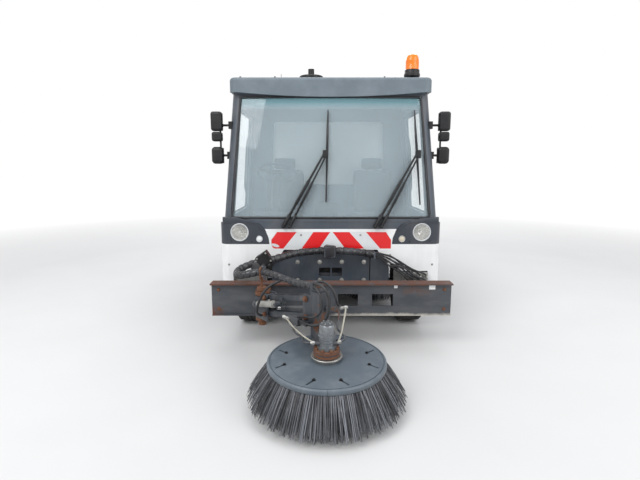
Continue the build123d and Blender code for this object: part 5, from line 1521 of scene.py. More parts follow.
def mirrored(obj: Obj, name: str, across: Point = (1, 0, 0)) -> Obj:
    """Copy a piece to the other side of the origin.

    Args:
        obj: The piece on one side.
        name: The copy's name.
        across: The axis that it is mirrored along; X is across the machine.

    Returns:
        The copy, with its normals outwards.
    """
    copy = placed(add_object(name, obj.data.copy()), Matrix.Scale(-1, 4, across))
    with editing(copy):
        face_outwards()
    return copy


@dataclass
class FrontLamps(Assembly):
    """The round headlamps and the small lamps beside the stripes."""

    head_x: float = 0.852
    head_z: float = 1.008
    head_radius: float = 0.085
    small_x: float = 0.668
    small_z: float = 0.945
    small_radius: float = 0.031
    flutes: int = 28

    def lamp(self, name: str, x: float, z: float, radius: float, lens: Material, finishes: Finishes,
             stands_for: Sequence[str] = ()) -> None:
        """One lamp: bezel, polished bowl, bulb and cut lens.

        Args:
            name: The lamp's name.
            x: Its place across the nose.
            z: Its height.
            radius: Its outer radius.
            lens: The lens's finish.
            finishes: The shared finishes.
            stands_for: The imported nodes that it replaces.
        """
        place = facing((x, NOSE_Y - 0.001, z), (0, -1, 0))
        r = radius
        bezel = spun(name + "_bezel", [
            (r * 0.87, -0.014), (r * 0.87, 0.0015), (r * 0.9, 0.005), (r * 0.955, 0.0058),
            (r * 0.992, 0.0036), (r, -0.001), (r, -0.014)], 56, closed=True, matrix=place)
        dress(smooth(bezel, 40), "chassis", finishes.pale, stands_for)
        depth = r * 0.85
        bowl = spun(name + "_bowl", [
            (r * 0.1, -depth), (r * 0.34, -depth * 0.9), (r * 0.58, -depth * 0.66), (r * 0.76, -depth * 0.36),
            (r * 0.865, -0.006), (r * 0.9, -0.006), (r * 0.8, -depth * 0.4), (r * 0.6, -depth * 0.72),
            (r * 0.34, -depth * 0.98), (r * 0.1, -depth * 1.06)], 26, closed=True, matrix=place)
        bulb = spun("bulb", [(0.0, -depth * 0.3), (r * 0.1, -depth * 0.34), (r * 0.13, -depth * 0.46),
                             (r * 0.1, -depth * 0.62), (r * 0.1, -depth), (0.0, -depth)], 20, matrix=place)
        dress(smooth(join(name + "_bowl", [bowl, bulb]), 12), "chassis", finishes.reflector)
        face = spun(name + "_lens", [
            (0.0, 0.0048), (r * 0.22, 0.0046), (r * 0.44, 0.0038), (r * 0.64, 0.0022), (r * 0.8, 0.0002),
            (r * 0.872, -0.002), (r * 0.872, -0.0046), (r * 0.64, -0.0022), (r * 0.3, 0.0004),
            (0.0, 0.0012)], self.flutes)
        bars = []
        for i in range(-4, 5):
            reach, level = r * 0.8 * math.sqrt(max(0.05, 1 - (i / 5) ** 2)), i * r * 0.165
            bars.append(add_box("bar", (-reach, level - 0.0011, -0.0022), (reach, level + 0.0011, 0.0002)))
        cut = placed(join(name + "_lens", [smooth(face, 30), *bars]), place)
        dress(cut, "chassis", lens)

    def fairings(self, finishes: Finishes) -> None:
        """The upper ends of the lamp panels over the pillars' feet, and the cab's corners behind them."""
        outline = [(-1.008, 1.0945), (-1.006, 1.151), (-0.93, 1.1475), (-0.86, 1.139), (-0.79, 1.127),
                   (-0.725, 1.111), (-0.69, 1.093), (-0.66, 1.069), (-0.638, 1.043), (-0.62, 1.013),
                   (-0.64, 1.013), (-0.668, 1.056), (-0.7, 1.08), (-0.745, 1.0945)]
        corner = [(-1.0345, 0.873), (-1.034, 0.9), (-1.008, 1.106), (-0.93, 1.106), (-0.93, 0.873)]
        right = plate("lamp_fairing_right", outline, NOSE_Y - 0.004, NOSE_Y + 0.03, 0.0022, 2)
        filler = plate("cab_corner_right", corner, NOSE_Y + 0.066, NOSE_Y + 0.258, 0.003, 2)
        pieces = [right, mirrored(right, "lamp_fairing_left"), filler, mirrored(filler, "cab_corner_left")]
        for piece in pieces:
            dress(smooth(piece, 30), "chassis", finishes.panel)

    def build(self, finishes: Finishes) -> None:
        """Make all four lamps, their panels' upper ends and the panels' screws.

        Args:
            finishes: The shared finishes.
        """
        head, small = (self.head_z, self.head_radius), (self.small_z, self.small_radius)
        self.lamp("headlamp_right", -self.head_x, *head, finishes.lens, finishes, ["front_lamps"])
        self.lamp("headlamp_left", self.head_x, *head, finishes.lens, finishes)
        self.lamp("small_lamp_right", -self.small_x, *small, finishes.opal, finishes)
        self.lamp("small_lamp_left", self.small_x, *small, finishes.beige_lens, finishes)
        self.fairings(finishes)
        spots = [(0.93, 0.925), (0.74, 0.918), (0.94, 1.12), (0.735, 1.098)]
        places = [facing((side.value * x, NOSE_Y - 0.0003, z), (0, -1, 0)) for side in Side for x, z in spots]
        dress(hex_bolts("lamp_panel_screws", places, 0.0045, 0.002, 1.4), "chassis", finishes.black)


@dataclass
class Beacon(Assembly):
    """The amber beacon on its stem on the roof."""

    x: float = 0.776
    y: float = NOSE_Y + 0.32
    radius: float = 0.062

    def build(self, finishes: Finishes) -> None:
        """Make the base and the ribbed dome.

        Args:
            finishes: The shared finishes.
        """
        r = self.radius
        place = Matrix.Translation((self.x, self.y, CAB_ROOF_Z))
        base = spun("beacon_base", [
            (0.0, 0.0004), (0.034, 0.0004), (0.034, 0.004), (0.0165, 0.006), (0.0165, 0.024), (0.044, 0.026),
            (r + 0.01, 0.032), (r + 0.0138, 0.037), (r + 0.0138, 0.056), (r + 0.009, 0.062),
            (r + 0.008, 0.064), (r + 0.008, 0.09), (r + 0.004, 0.096), (0.0, 0.096)], 56, matrix=place)
        dress(smooth(base, 35), "chassis", finishes.black, ["beacon"])
        dome = spun("beacon_dome", [
            (r, 0.096), (r, 0.104), (r * 0.985, 0.107), (r * 0.985, 0.172), (r, 0.176), (r * 0.985, 0.182),
            (r * 0.93, 0.207), (r * 0.76, 0.226), (r * 0.45, 0.2375), (0.0, 0.2415), (0.0, 0.0962)], 96)
        for vertex in dome.data.vertices:
            if 0.106 < vertex.co.z < 0.174:
                angle = math.atan2(vertex.co.y, vertex.co.x)
                ease = 1.0 + 0.018 * math.cos(angle * 32)
                vertex.co.x *= ease
                vertex.co.y *= ease
        dress(smooth(placed(dome, place), 30), "chassis", finishes.amber)


@dataclass
class Wipers(Assembly):
    """The two pantograph wipers: spindles, double arms, heads and rubber blades."""

    foot_z: float = 1.062
    spread: float = 0.06
    blade_gap: float = 0.015

    def build(self, finishes: Finishes) -> None:
        """Make both wipers.

        Args:
            finishes: The shared finishes.
        """
        table = [
            # foot x, head x, head z, blade foot x and z, blade tip x and z
            (-0.442, -0.054, 1.747, -0.044, 1.287, -0.026, 2.13),
            (0.409, 0.806, 1.747, 0.834, 1.26, 0.778, 2.13),
        ]
        foot_y = NOSE_Y - 0.036
        arms, rubbers = [], []
        for foot_x, head_x, head_z, low_x, low_z, tip_x, tip_z in table:
            head = Vector((head_x, screen_y(head_x, head_z) - 0.044, head_z))
            for shift, thick in ((0.0, 0.0135), (self.spread, 0.011)):
                start = Vector((foot_x + shift, foot_y, self.foot_z))
                end = head + Vector((0.012 if shift else 0.0, 0.0, -0.03 if shift else 0.0))
                arms.append(add_rod("arm", start, end, thick, 14, 0.001, thick * 0.72))
                arms.append(add_rod("sleeve", start, start.lerp(end, 0.16), thick * 1.35, 16, 0.002))
                arms.append(add_rod("spring", start.lerp(end, 0.3), start.lerp(end, 0.62),
                                    thick * 1.16, 16, 0.002))
                cap = spun("spindle", [(0.0, 0.018), (0.008, 0.0175), (0.0145, 0.013), (0.0165, 0.004),
                                       (0.0165, -0.034), (0.0, -0.034)], 24, matrix=facing(start, (0, -1, 0)))
                arms.append(cap)
            arms.append(add_box("head", (head.x - 0.022, head.y - 0.014, head.z - 0.058),
                                (head.x + 0.03, head.y + 0.016, head.z + 0.018), 0.006))
            low = Vector((low_x, screen_y(low_x, low_z) - self.blade_gap, low_z))
            tip = Vector((tip_x, screen_y(tip_x, tip_z) - self.blade_gap, tip_z))
            middle = low.lerp(tip, (head_z - low_z) / (tip_z - low_z))
            arms.append(add_rod("link", head, middle, 0.009, 12))
            for share in (0.28, 0.72):
                claw = low.lerp(tip, share) + Vector((0, -0.006, 0))
                arms.append(add_rod("bridge", claw, middle + Vector((0, -0.015, 0)), 0.0055, 10, 0.0, 0.0075))
                for end_share in (share - 0.13, share + 0.13):
                    arms.append(add_rod("claw", claw, low.lerp(tip, end_share), 0.0045, 8))
            long = (tip - low).length
            strip = spun("blade", [
                (0.0, 0.0), (0.005, 0.0), (0.007, 0.01), (0.009, long * 0.3), (0.0125, long * 0.52),
                (0.0115, long * 0.72), (0.0065, long - 0.01), (0.0045, long), (0.0, long)], 14,
                matrix=facing(low, tip - low))
            edge = add_rod("edge", low + Vector((0, 0.007, 0.004)),
                           tip + Vector((0, 0.007, -0.004)), 0.0035, 6)
            rubbers += [strip, edge]
        fitted("wiper_arms", arms, "chassis", finishes.black, ["wipers"])
        fitted("wiper_blades", rubbers, "chassis", finishes.rubber)


@dataclass
class Mirrors(Assembly):
    """The looking glasses in the mirror heads, their clamps and their screws."""

    x: float = 1.075
    arm_y: float = NOSE_Y + 0.215
    back_y: float = NOSE_Y + 0.215 + 0.036

    def build(self, finishes: Finishes) -> None:
        """Make the glasses, their seals, and the arms' bolts and collars.

        Args:
            finishes: The shared finishes.
        """
        heads = [
            # half width, low, high, edge
            (0.054, 1.945, 2.125, 0.022), (0.048, 1.85, 1.938, 0.018), (0.056, 1.64, 1.8, 0.028),
        ]
        for side in Side:
            panes, seals = [], []
            for half, low, high, edge in heads:
                centre = side.value * self.x
                inner = half - 0.01
                pane = add_box("pane", (centre - inner, self.back_y - 0.002, low + 0.01),
                               (centre + inner, self.back_y + 0.0012, high - 0.01), 0.0006, 1)
                with editing(pane, "EDGE") as mesh:
                    for e in mesh.edges:
                        a, b = e.verts
                        e.select = abs(a.co.x - b.co.x) < 1e-5 and abs(a.co.z - b.co.z) < 1e-5
                    bpy.ops.mesh.bevel(offset=edge * 0.6, segments=4)
                panes.append(pane)
                left, right = centre - inner - 0.002, centre + inner + 0.002
                rim = ((left, low + 0.008), (right, low + 0.008), (right, high - 0.008), (left, high - 0.008))
                corners = [(x, self.back_y, z) for x, z in rim]
                seals.append(bent_bar("rim", [*corners, corners[0]], 0.0022, 2, order=2))
            name = side.label
            dress(join(f"mirror_glass_{name}", panes), "chassis", finishes.chrome)
            for z in (2.0, 1.72):
                face = half_width_at(z)
                for dz in (-0.022, 0.022):
                    foot, head = ((side.value * (face + out), self.arm_y, z + dz) for out in (0.012, 0.021))
                    seals.append(add_rod("bolt", foot, head, 0.007, 6, 0.0008))
                start, end = ((side.value * (self.x - gap), self.arm_y, z) for gap in (0.058, 0.036))
                seals.append(add_rod("collar", start, end, 0.016, 20, 0.002))
            fitted(f"mirror_fittings_{name}", seals, "chassis", finishes.black)


@dataclass
class Tyres(Assembly):
    """The four road tyres with their tread blocks and side ribs, and the nuts of the rims."""

    radius: float = 0.39
    tread_depth: float = 0.0095
    pitches: int = 52
    nut_circle: float = 0.1025
    nut_count: int = 8

    def carcass(self) -> Obj:
        """The tyre's body, turned about Z.

        Returns:
            The closed body.
        """
        base = self.radius - self.tread_depth
        outer = [(base, 0.0), (base, 0.074), (base - 0.003, 0.092), (base - 0.011, 0.106),
                 (base - 0.026, 0.1165), (base - 0.046, 0.1225), (0.318, 0.125), (0.316, 0.1266),
                 (0.31, 0.1266), (0.308, 0.125), (0.286, 0.1225), (0.284, 0.1238), (0.276, 0.1232),
                 (0.274, 0.1214), (0.258, 0.1165), (0.245, 0.1095), (0.2355, 0.103), (0.2328, 0.0985),
                 (0.2328, 0.086)]
        profile = [(r, -h) for r, h in outer[:0:-1]] + outer
        return spun("carcass", profile, 96, closed=True)

    def blocks(self) -> Obj:
        """The tread: five rows of blocks and the side lugs.

        Returns:
            All blocks of one tyre.
        """
        base = self.radius - self.tread_depth - 0.002
        step = 2 * math.pi / self.pitches
        arc = base * step
        rows = [
            # middle across, width, length share, skew, turn offset
            (0.0, 0.034, 0.8, 0.1, 0.0), (0.043, 0.036, 0.78, -0.16, 0.5), (-0.043, 0.036, 0.78, 0.16, 0.5),
            (0.0865, 0.036, 0.74, 0.08, 0.15), (-0.0865, 0.036, 0.74, -0.08, 0.15),
        ]
        sets = []
        for middle, width, share, skew, offset in rows:
            drop_edge = 0.0025 if abs(middle) > 0.08 else 0.0
            block = add_box("block", (base, -arc * share / 2, middle - width / 2),
                            (self.radius - 0.0008 - drop_edge, arc * share / 2, middle + width / 2))
            with editing(block, "EDGE") as mesh:
                for edge in mesh.edges:
                    edge.select = all(v.co.x > base + 0.004 for v in edge.verts)
                bpy.ops.mesh.bevel(offset=0.0016, segments=1)
            placed(block, Matrix.Translation((0, 0, middle)) @ turn_about("X", skew)
                   @ Matrix.Translation((0, 0, -middle)))
            places = [turn_about("Z", step * (i + offset)) for i in range(self.pitches)]
            sets.append(repeat("row", block, places))
        lug = add_box("lug", (0.344, -arc * 0.3, 0.1135), (0.377, arc * 0.3, 0.1245), 0.002, 1)
        with editing(lug, "VERT") as mesh:
            for vertex in mesh.verts:
                if vertex.co.x > 0.36:
                    vertex.co.z -= 0.0095
        both = join("lug", [lug, mirrored(lug, "lug_low", (0, 0, 1))])
        sets.append(repeat("lugs", both, [turn_about("Z", step * (i + 0.15)) for i in range(self.pitches)]))
        return join("blocks", sets)

    def build(self, finishes: Finishes) -> None:
        """Make the four wheels' rubber, nuts and valves.

        Args:
            finishes: The shared finishes.
        """
        template = smooth(join("tyre", [self.carcass(), self.blocks()]), 32)
        for end, y in (("front", FRONT_AXLE_Y), ("rear", FRONT_AXLE_Y + WHEELBASE)):
            for side in Side:
                name = f"{end}_{side.label}"
                body = "wheel_" + name
                place = facing((side.value * WHEEL_X, y, WHEEL_Z), (side.value, 0, 0))
                tyre = placed(add_object(f"road_tyre_{name}", template.data.copy()), place)
                dress(tyre, body, finishes.tyre, [f"tyre_{name}"])
                low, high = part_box(f"rim_{name}")
                self.nuts(name, body, side.value * (abs(low.x + high.x) / 2), y, side, finishes)
        drop(template)

    def nuts(self, name: str, body: str, x: float, y: float, side: Side, finishes: Finishes) -> None:
        """The wheel nuts and the tyre valve of one wheel.

        Args:
            name: The wheel's name.
            body: The wheel's body.
            x: The wheel's middle.
            y: The axle's place along the machine.
            side: The side that it is on.
            finishes: The shared finishes.
        """
        face = x + side.value * 0.0465
        places = []
        for i in range(self.nut_count):
            angle = math.radians(22.5 + i * 45)
            spot = (face, y + self.nut_circle * math.cos(angle), WHEEL_Z + self.nut_circle * math.sin(angle))
            places.append(facing(spot, (side.value, 0, 0)))
        dress(hex_bolts(f"wheel_nuts_{name}", places, 0.0165, 0.02, 1.2), body, finishes.zinc)
        valve = spun(f"valve_{name}", [
            (0.0, 0.04), (0.0035, 0.0398), (0.0042, 0.037), (0.0042, 0.024), (0.003, 0.023), (0.003, 0.008),
            (0.006, 0.006), (0.0066, -0.01), (0.0, -0.01)], 14,
            matrix=facing((x + side.value * 0.078, y + 0.02, WHEEL_Z + 0.214), (side.value, 0, -0.25)))
        dress(smooth(valve, 35), body, finishes.rubber)


@dataclass
class Seats(Assembly):
    """The two padded seats on their bases."""

    x: float = 0.52
    y: float = NOSE_Y + 0.95
    top: float = 1.09
    grid: float = 0.013
    pressure: float = 3.6
    cap: float = 0.012
    cloth_frames: int = 20
    piping_points: int = 28
    roundness: float = 0.28

    def puffed(self, pad: Obj) -> Obj:
        """Let a pad swell like stuffed cloth, within a small distance of its shape.

        Args:
            pad: The pad's plain shape.

        Returns:
            The swollen pad.
        """
        apply_modifier(pad, "REMESH", mode="VOXEL", voxel_size=self.grid)
        before = [vertex.co.copy() for vertex in pad.data.vertices]
        make_active(pad)
        bpy.ops.object.modifier_add(type="CLOTH")
        cloth = pad.modifiers[-1]
        cloth.settings.use_pressure = True
        cloth.settings.uniform_pressure_force = self.pressure
        cloth.settings.effector_weights.gravity = 0.0
        cloth.settings.quality = 4
        cloth.point_cache.frame_end = self.cloth_frames
        for number in range(1, self.cloth_frames + 1):
            bpy.context.scene.frame_set(number)
        bpy.ops.object.modifier_apply(modifier=cloth.name)
        bpy.context.scene.frame_set(1)
        for vertex, old in zip(pad.data.vertices, before):
            move = vertex.co - old
            if move.length > self.cap:
                vertex.co = old + move.normalized() * self.cap
        apply_modifier(pad, "SUBSURF", levels=1)
        return smooth(pad, 80)

    def cushion(self, name: str, size: Point, centre: Point, lean: float) -> tuple[Obj, Obj]:
        """One cushion: its padded cloth and the piping round its edge.

        Args:
            name: The cushion's name.
            size: Its width, depth and height.
            centre: Its middle.
            lean: How far it leans back, in radians.

        Returns:
            The cushion and its piping.
        """
        w, d, h = (value / 2 - 0.006 for value in size)
        place = Matrix.Translation(centre) @ turn_about("X", lean)
        pad = add_box(name, (-w, -d, -h), (w, d, h), min(w, d, h) * 0.55, 4)
        pad = self.puffed(pad)
        pad = placed(pad, place)
        flat = h < d
        wide, deep = w - 0.004, (d if flat else h) - 0.004
        rim = []
        for i in range(self.piping_points):
            angle = 2 * math.pi * i / self.piping_points
            c, s = math.cos(angle), math.sin(angle)
            u = wide * math.copysign(abs(c) ** self.roundness, c)
            v = deep * math.copysign(abs(s) ** self.roundness, s)
            edge = (h if flat else d) * 0.62
            rim.append(place @ (Vector((u, v, edge)) if flat else Vector((u, -edge, v))))
        piping = bent_bar(name + "_piping", [*rim, rim[0], rim[1]], 0.0036, 2)
        return smooth(pad, 70), piping

    def build(self, finishes: Finishes) -> None:
        """Make both seats.

        Args:
            finishes: The shared finishes.
        """
        lean = math.radians(-9)
        parts = [
            # name, size, middle, lean
            ("seat_base", (0.494, 0.494, 0.122), (self.x, self.y - 0.02, self.top - 0.0625), 0.0),
            ("seat_back", (0.474, 0.118, 0.524), (self.x, self.y + 0.285, self.top + 0.235), lean),
            ("head_rest", (0.264, 0.093, 0.136), (self.x, self.y + 0.334, self.top + 0.56), lean),
        ]
        for name, size, centre, angle in parts:
            pad, piping = self.cushion(name + "_left", size, centre, angle)
            other = mirrored(pad, name + "_right")
            other_piping = mirrored(piping, name + "_right_piping")
            stands = ["seats"] if name == "seat_base" else ()
            dress(pad, "chassis", finishes.cloth, stands)
            dress(other, "chassis", finishes.cloth)
            dress(join(name + "_pipings", [piping, other_piping]), "chassis", finishes.rubber)
        frames = []
        boxes = [
            # name, from and to across, along and in height, bevel
            ("pedestal", (-0.168, 0.168), (-0.06, 0.185), (0.862, 0.966), 0.012),
            ("slide", (-0.155, -0.125), (-0.18, 0.19), (0.934, 0.966), 0.004),
            ("slide", (0.125, 0.155), (-0.18, 0.19), (0.934, 0.966), 0.004),
            ("leg", (-0.14, 0.14), (0.06, 0.18), (0.672, 0.87), 0.01),
        ]
        for side in Side:
            x = side.value * self.x
            for name, (x0, x1), (y0, y1), (z0, z1), bevel in boxes:
                frames.append(add_box(name, (x + x0, self.y + y0, z0), (x + x1, self.y + y1, z1), bevel))
            for dx in (-0.232, 0.232):
                frames.append(add_box("hinge", (x + dx - 0.009, self.y + 0.175, 1.01),
                                      (x + dx + 0.009, self.y + 0.29, 1.13), 0.006))
            for dx in (-0.045, 0.045):
                frames.append(add_rod("stalk", (x + dx, self.y + 0.318, self.top + 0.47),
                                      (x + dx, self.y + 0.334, self.top + 0.53), 0.006, 14))
        fitted("seat_frames", frames, "chassis", finishes.black)


@dataclass
class CabInside(Assembly):
    """What shows through the screen: dials, vents, levers and the trim of the wheel."""

    driver_x: float = -0.55
    wheel_y: float = NOSE_Y + 0.6
    wheel_z: float = 1.545
    tilt: float = math.radians(-28)

    def steps(self) -> Steps:
        """The wheel's trim, then the dashboard's."""
        return self.wheel, self.dash

    def wheel(self, finishes: Finishes) -> None:
        """The steering wheel's pad and grips, and the levers on its column."""
        wheel = Matrix.Translation((self.driver_x, self.wheel_y, self.wheel_z)) @ turn_about("X", self.tilt)
        pad = spun("wheel_pad", [(0.0, 0.0215), (0.03, 0.021), (0.044, 0.0185), (0.0482, 0.0155),
                                 (0.0482, 0.015), (0.0, 0.015)], 40, matrix=wheel)
        grips = []
        for turn in (30, 150, 270):
            angle = math.radians(turn)
            spot = wheel @ turn_about("Z", angle) @ Matrix.Translation((0.205, 0, 0))
            spot = spot @ turn_about("X", math.radians(90))
            grips.append(spun("grip", [(0.014, -0.03), (0.0152, -0.028), (0.0152, 0.028), (0.014, 0.03)], 24,
                              closed=True, matrix=spot))
        fitted("wheel_trim", [pad, *grips], "chassis", finishes.rubber)
        column = wheel @ Matrix.Translation((0, 0, -0.115))
        levers = []
        for sign in (-1, 1):
            start = column @ Vector((sign * 0.04, 0, 0))
            end = column @ Vector((sign * 0.165, -0.03, 0.035))
            levers.append(add_rod("lever", start, end, 0.005, 14))
            levers.append(add_rod("knob", start.lerp(end, 0.8), end, 0.0088, 16, 0.002))
        fitted("column_levers", levers, "chassis", finishes.black)

    def dash(self, finishes: Finishes) -> None:
        """The dials, the vents, the knobs and the monitor."""
        dials = []
        face_y, face_z = NOSE_Y + 0.352, WAIST_Z + 0.018
        for dx, radius in ((-0.115, 0.046), (0.0, 0.034), (0.1, 0.046)):
            spot = facing((self.driver_x + dx, face_y, face_z), (0, 1, 0.45))
            dials.append(spun("dial", [(0.0, 0.004), (radius * 0.88, 0.004), (radius * 0.92, 0.008),
                                       (radius, 0.007), (radius, -0.01), (0.0, -0.01)], 36, matrix=spot))
        fitted("dash_dials", dials, "chassis", finishes.pale)
        slats = []
        for x in (-0.8, -0.23, 0.12, 0.42, 0.72):
            for i in range(7):
                low = (x - 0.052 + i * 0.016, NOSE_Y + 0.15, WAIST_Z - 0.0165)
                high = (low[0] + 0.006, NOSE_Y + 0.198, WAIST_Z - 0.005)
                slats.append(add_box("slat", low, high, 0.001, 1))
        dress(join("dash_vents", slats), "chassis", finishes.rubber)
        knobs = []
        for i in range(6):
            spot = facing((0.05 + i * 0.055, NOSE_Y + 0.399, WAIST_Z - 0.075), (0, 1, 0.3))
            knobs.append(spun("knob", [
                (0.0, 0.014), (0.01, 0.013), (0.012, 0.01), (0.012, -0.004), (0.0, -0.004)], 18, matrix=spot))
        screen = add_box("monitor", (-0.165, NOSE_Y + 0.3, WAIST_Z + 0.006),
                         (0.075, NOSE_Y + 0.328, WAIST_Z + 0.16), 0.008)
        stand = add_box("stand", (-0.07, NOSE_Y + 0.306, WAIST_Z - 0.05),
                        (-0.02, NOSE_Y + 0.322, WAIST_Z + 0.01), 0.004)
        fitted("dash_controls", [*knobs, screen, stand], "chassis", finishes.black)


@dataclass
class CabShell(Assembly):
    """The seals, handles, grab bars, studs and aerial of the cab's outside."""

    def seals(self, finishes: Finishes) -> None:
        """The rubber seals round the windscreen and the door glass."""
        low, high = 1.142, 2.252
        points = []
        ring = ((-1, low), (-0.5, low), (0, low), (0.5, low), (1, low), (1, 1.5), (1, 1.9), (1, high),
                (0.5, high), (0, high), (-0.5, high), (-1, high), (-1, 1.9), (-1, 1.5), (-1, low))
        for share, z in ring:
            x = share * (half_width_at(z) - 0.085)
            points.append((x, screen_y(x, z) - 0.001, z))
        dress(bent_bar("windscreen_seal", points, 0.0105, 3, order=2), "chassis", finishes.rubber)
        for side in Side:
            ring = [(-1.01, 1.148), (-0.16, 1.148), (-0.16, 2.168), (-0.975, 2.168)]
            corners = [(side.value * (half_width_at(z) - 0.013), y, z) for y, z in ring]
            bar = bent_bar(f"door_seal_{side.label}", [*corners, corners[0]], 0.0085, 3, order=2)
            dress(bar, f"door_{side.label}", finishes.rubber)

    def doors(self, finishes: Finishes) -> None:
        """The handles, the locks and the grab bars beside the doors."""
        for side in Side:
            name = side.label
            s = side.value
            z, y = 1.035, -0.215
            face = half_width_at(z) + 0.001
            bowl = add_box("bowl", (s * (face - 0.004), y - 0.075, z - 0.032),
                           (s * (face + 0.004), y + 0.075, z + 0.032), 0.003)
            bend = ((0.002, -0.058), (0.03, -0.05), (0.03, 0.04), (0.002, 0.052))
            grip = bent_bar("grip", [(s * (face + out), y + dy, z + 0.008) for out, dy in bend], 0.0075, 4)
            lock = add_rod("lock", (s * face, y + 0.062, z - 0.016),
                           (s * (face + 0.007), y + 0.062, z - 0.016), 0.009, 20, 0.001)
            fitted(f"door_handle_{name}", [bowl, grip, lock], f"door_{name}", finishes.black)
            rise = ((1.3, -0.002, 1.3), (1.3, 0.032, 1.31), (1.65, 0.03, 1.65), (1.98, 0.032, 1.97),
                    (1.98, -0.002, 1.98))
            points = [(s * (half_width_at(level) + out), -0.035, z) for level, out, z in rise]
            bar = bent_bar(f"grab_bar_{name}", points, 0.01, 4)
            dress(bar, "chassis", finishes.black)

    def roof(self, finishes: Finishes) -> None:
        """The studs along the roof's front edge and the aerial."""
        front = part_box("roof_cap")[0].y + 0.06
        places = [facing((x, front, CAB_ROOF_Z - 0.002), (0, 0, 1)) for x in (-0.839, -0.518, 0.499)]
        dress(hex_bolts("roof_studs", places, 0.009, 0.014, 1.3), "chassis", finishes.black)
        x, y, z = -0.55, NOSE_Y + 1.2, CAB_ROOF_Z
        aerial = [add_rod("foot", (x, y, z - 0.002), (x, y, z + 0.03), 0.022, 24, 0.006, 0.014),
                  add_rod("whip", (x, y, z + 0.028), (x, NOSE_Y + 1.29, z + 0.25), 0.0028, 10)]
        fitted("aerial", aerial, "chassis", finishes.black)

    def steps(self) -> Steps:
        """The seals, the doors' fittings and the roof's."""
        return self.seals, self.doors, self.roof


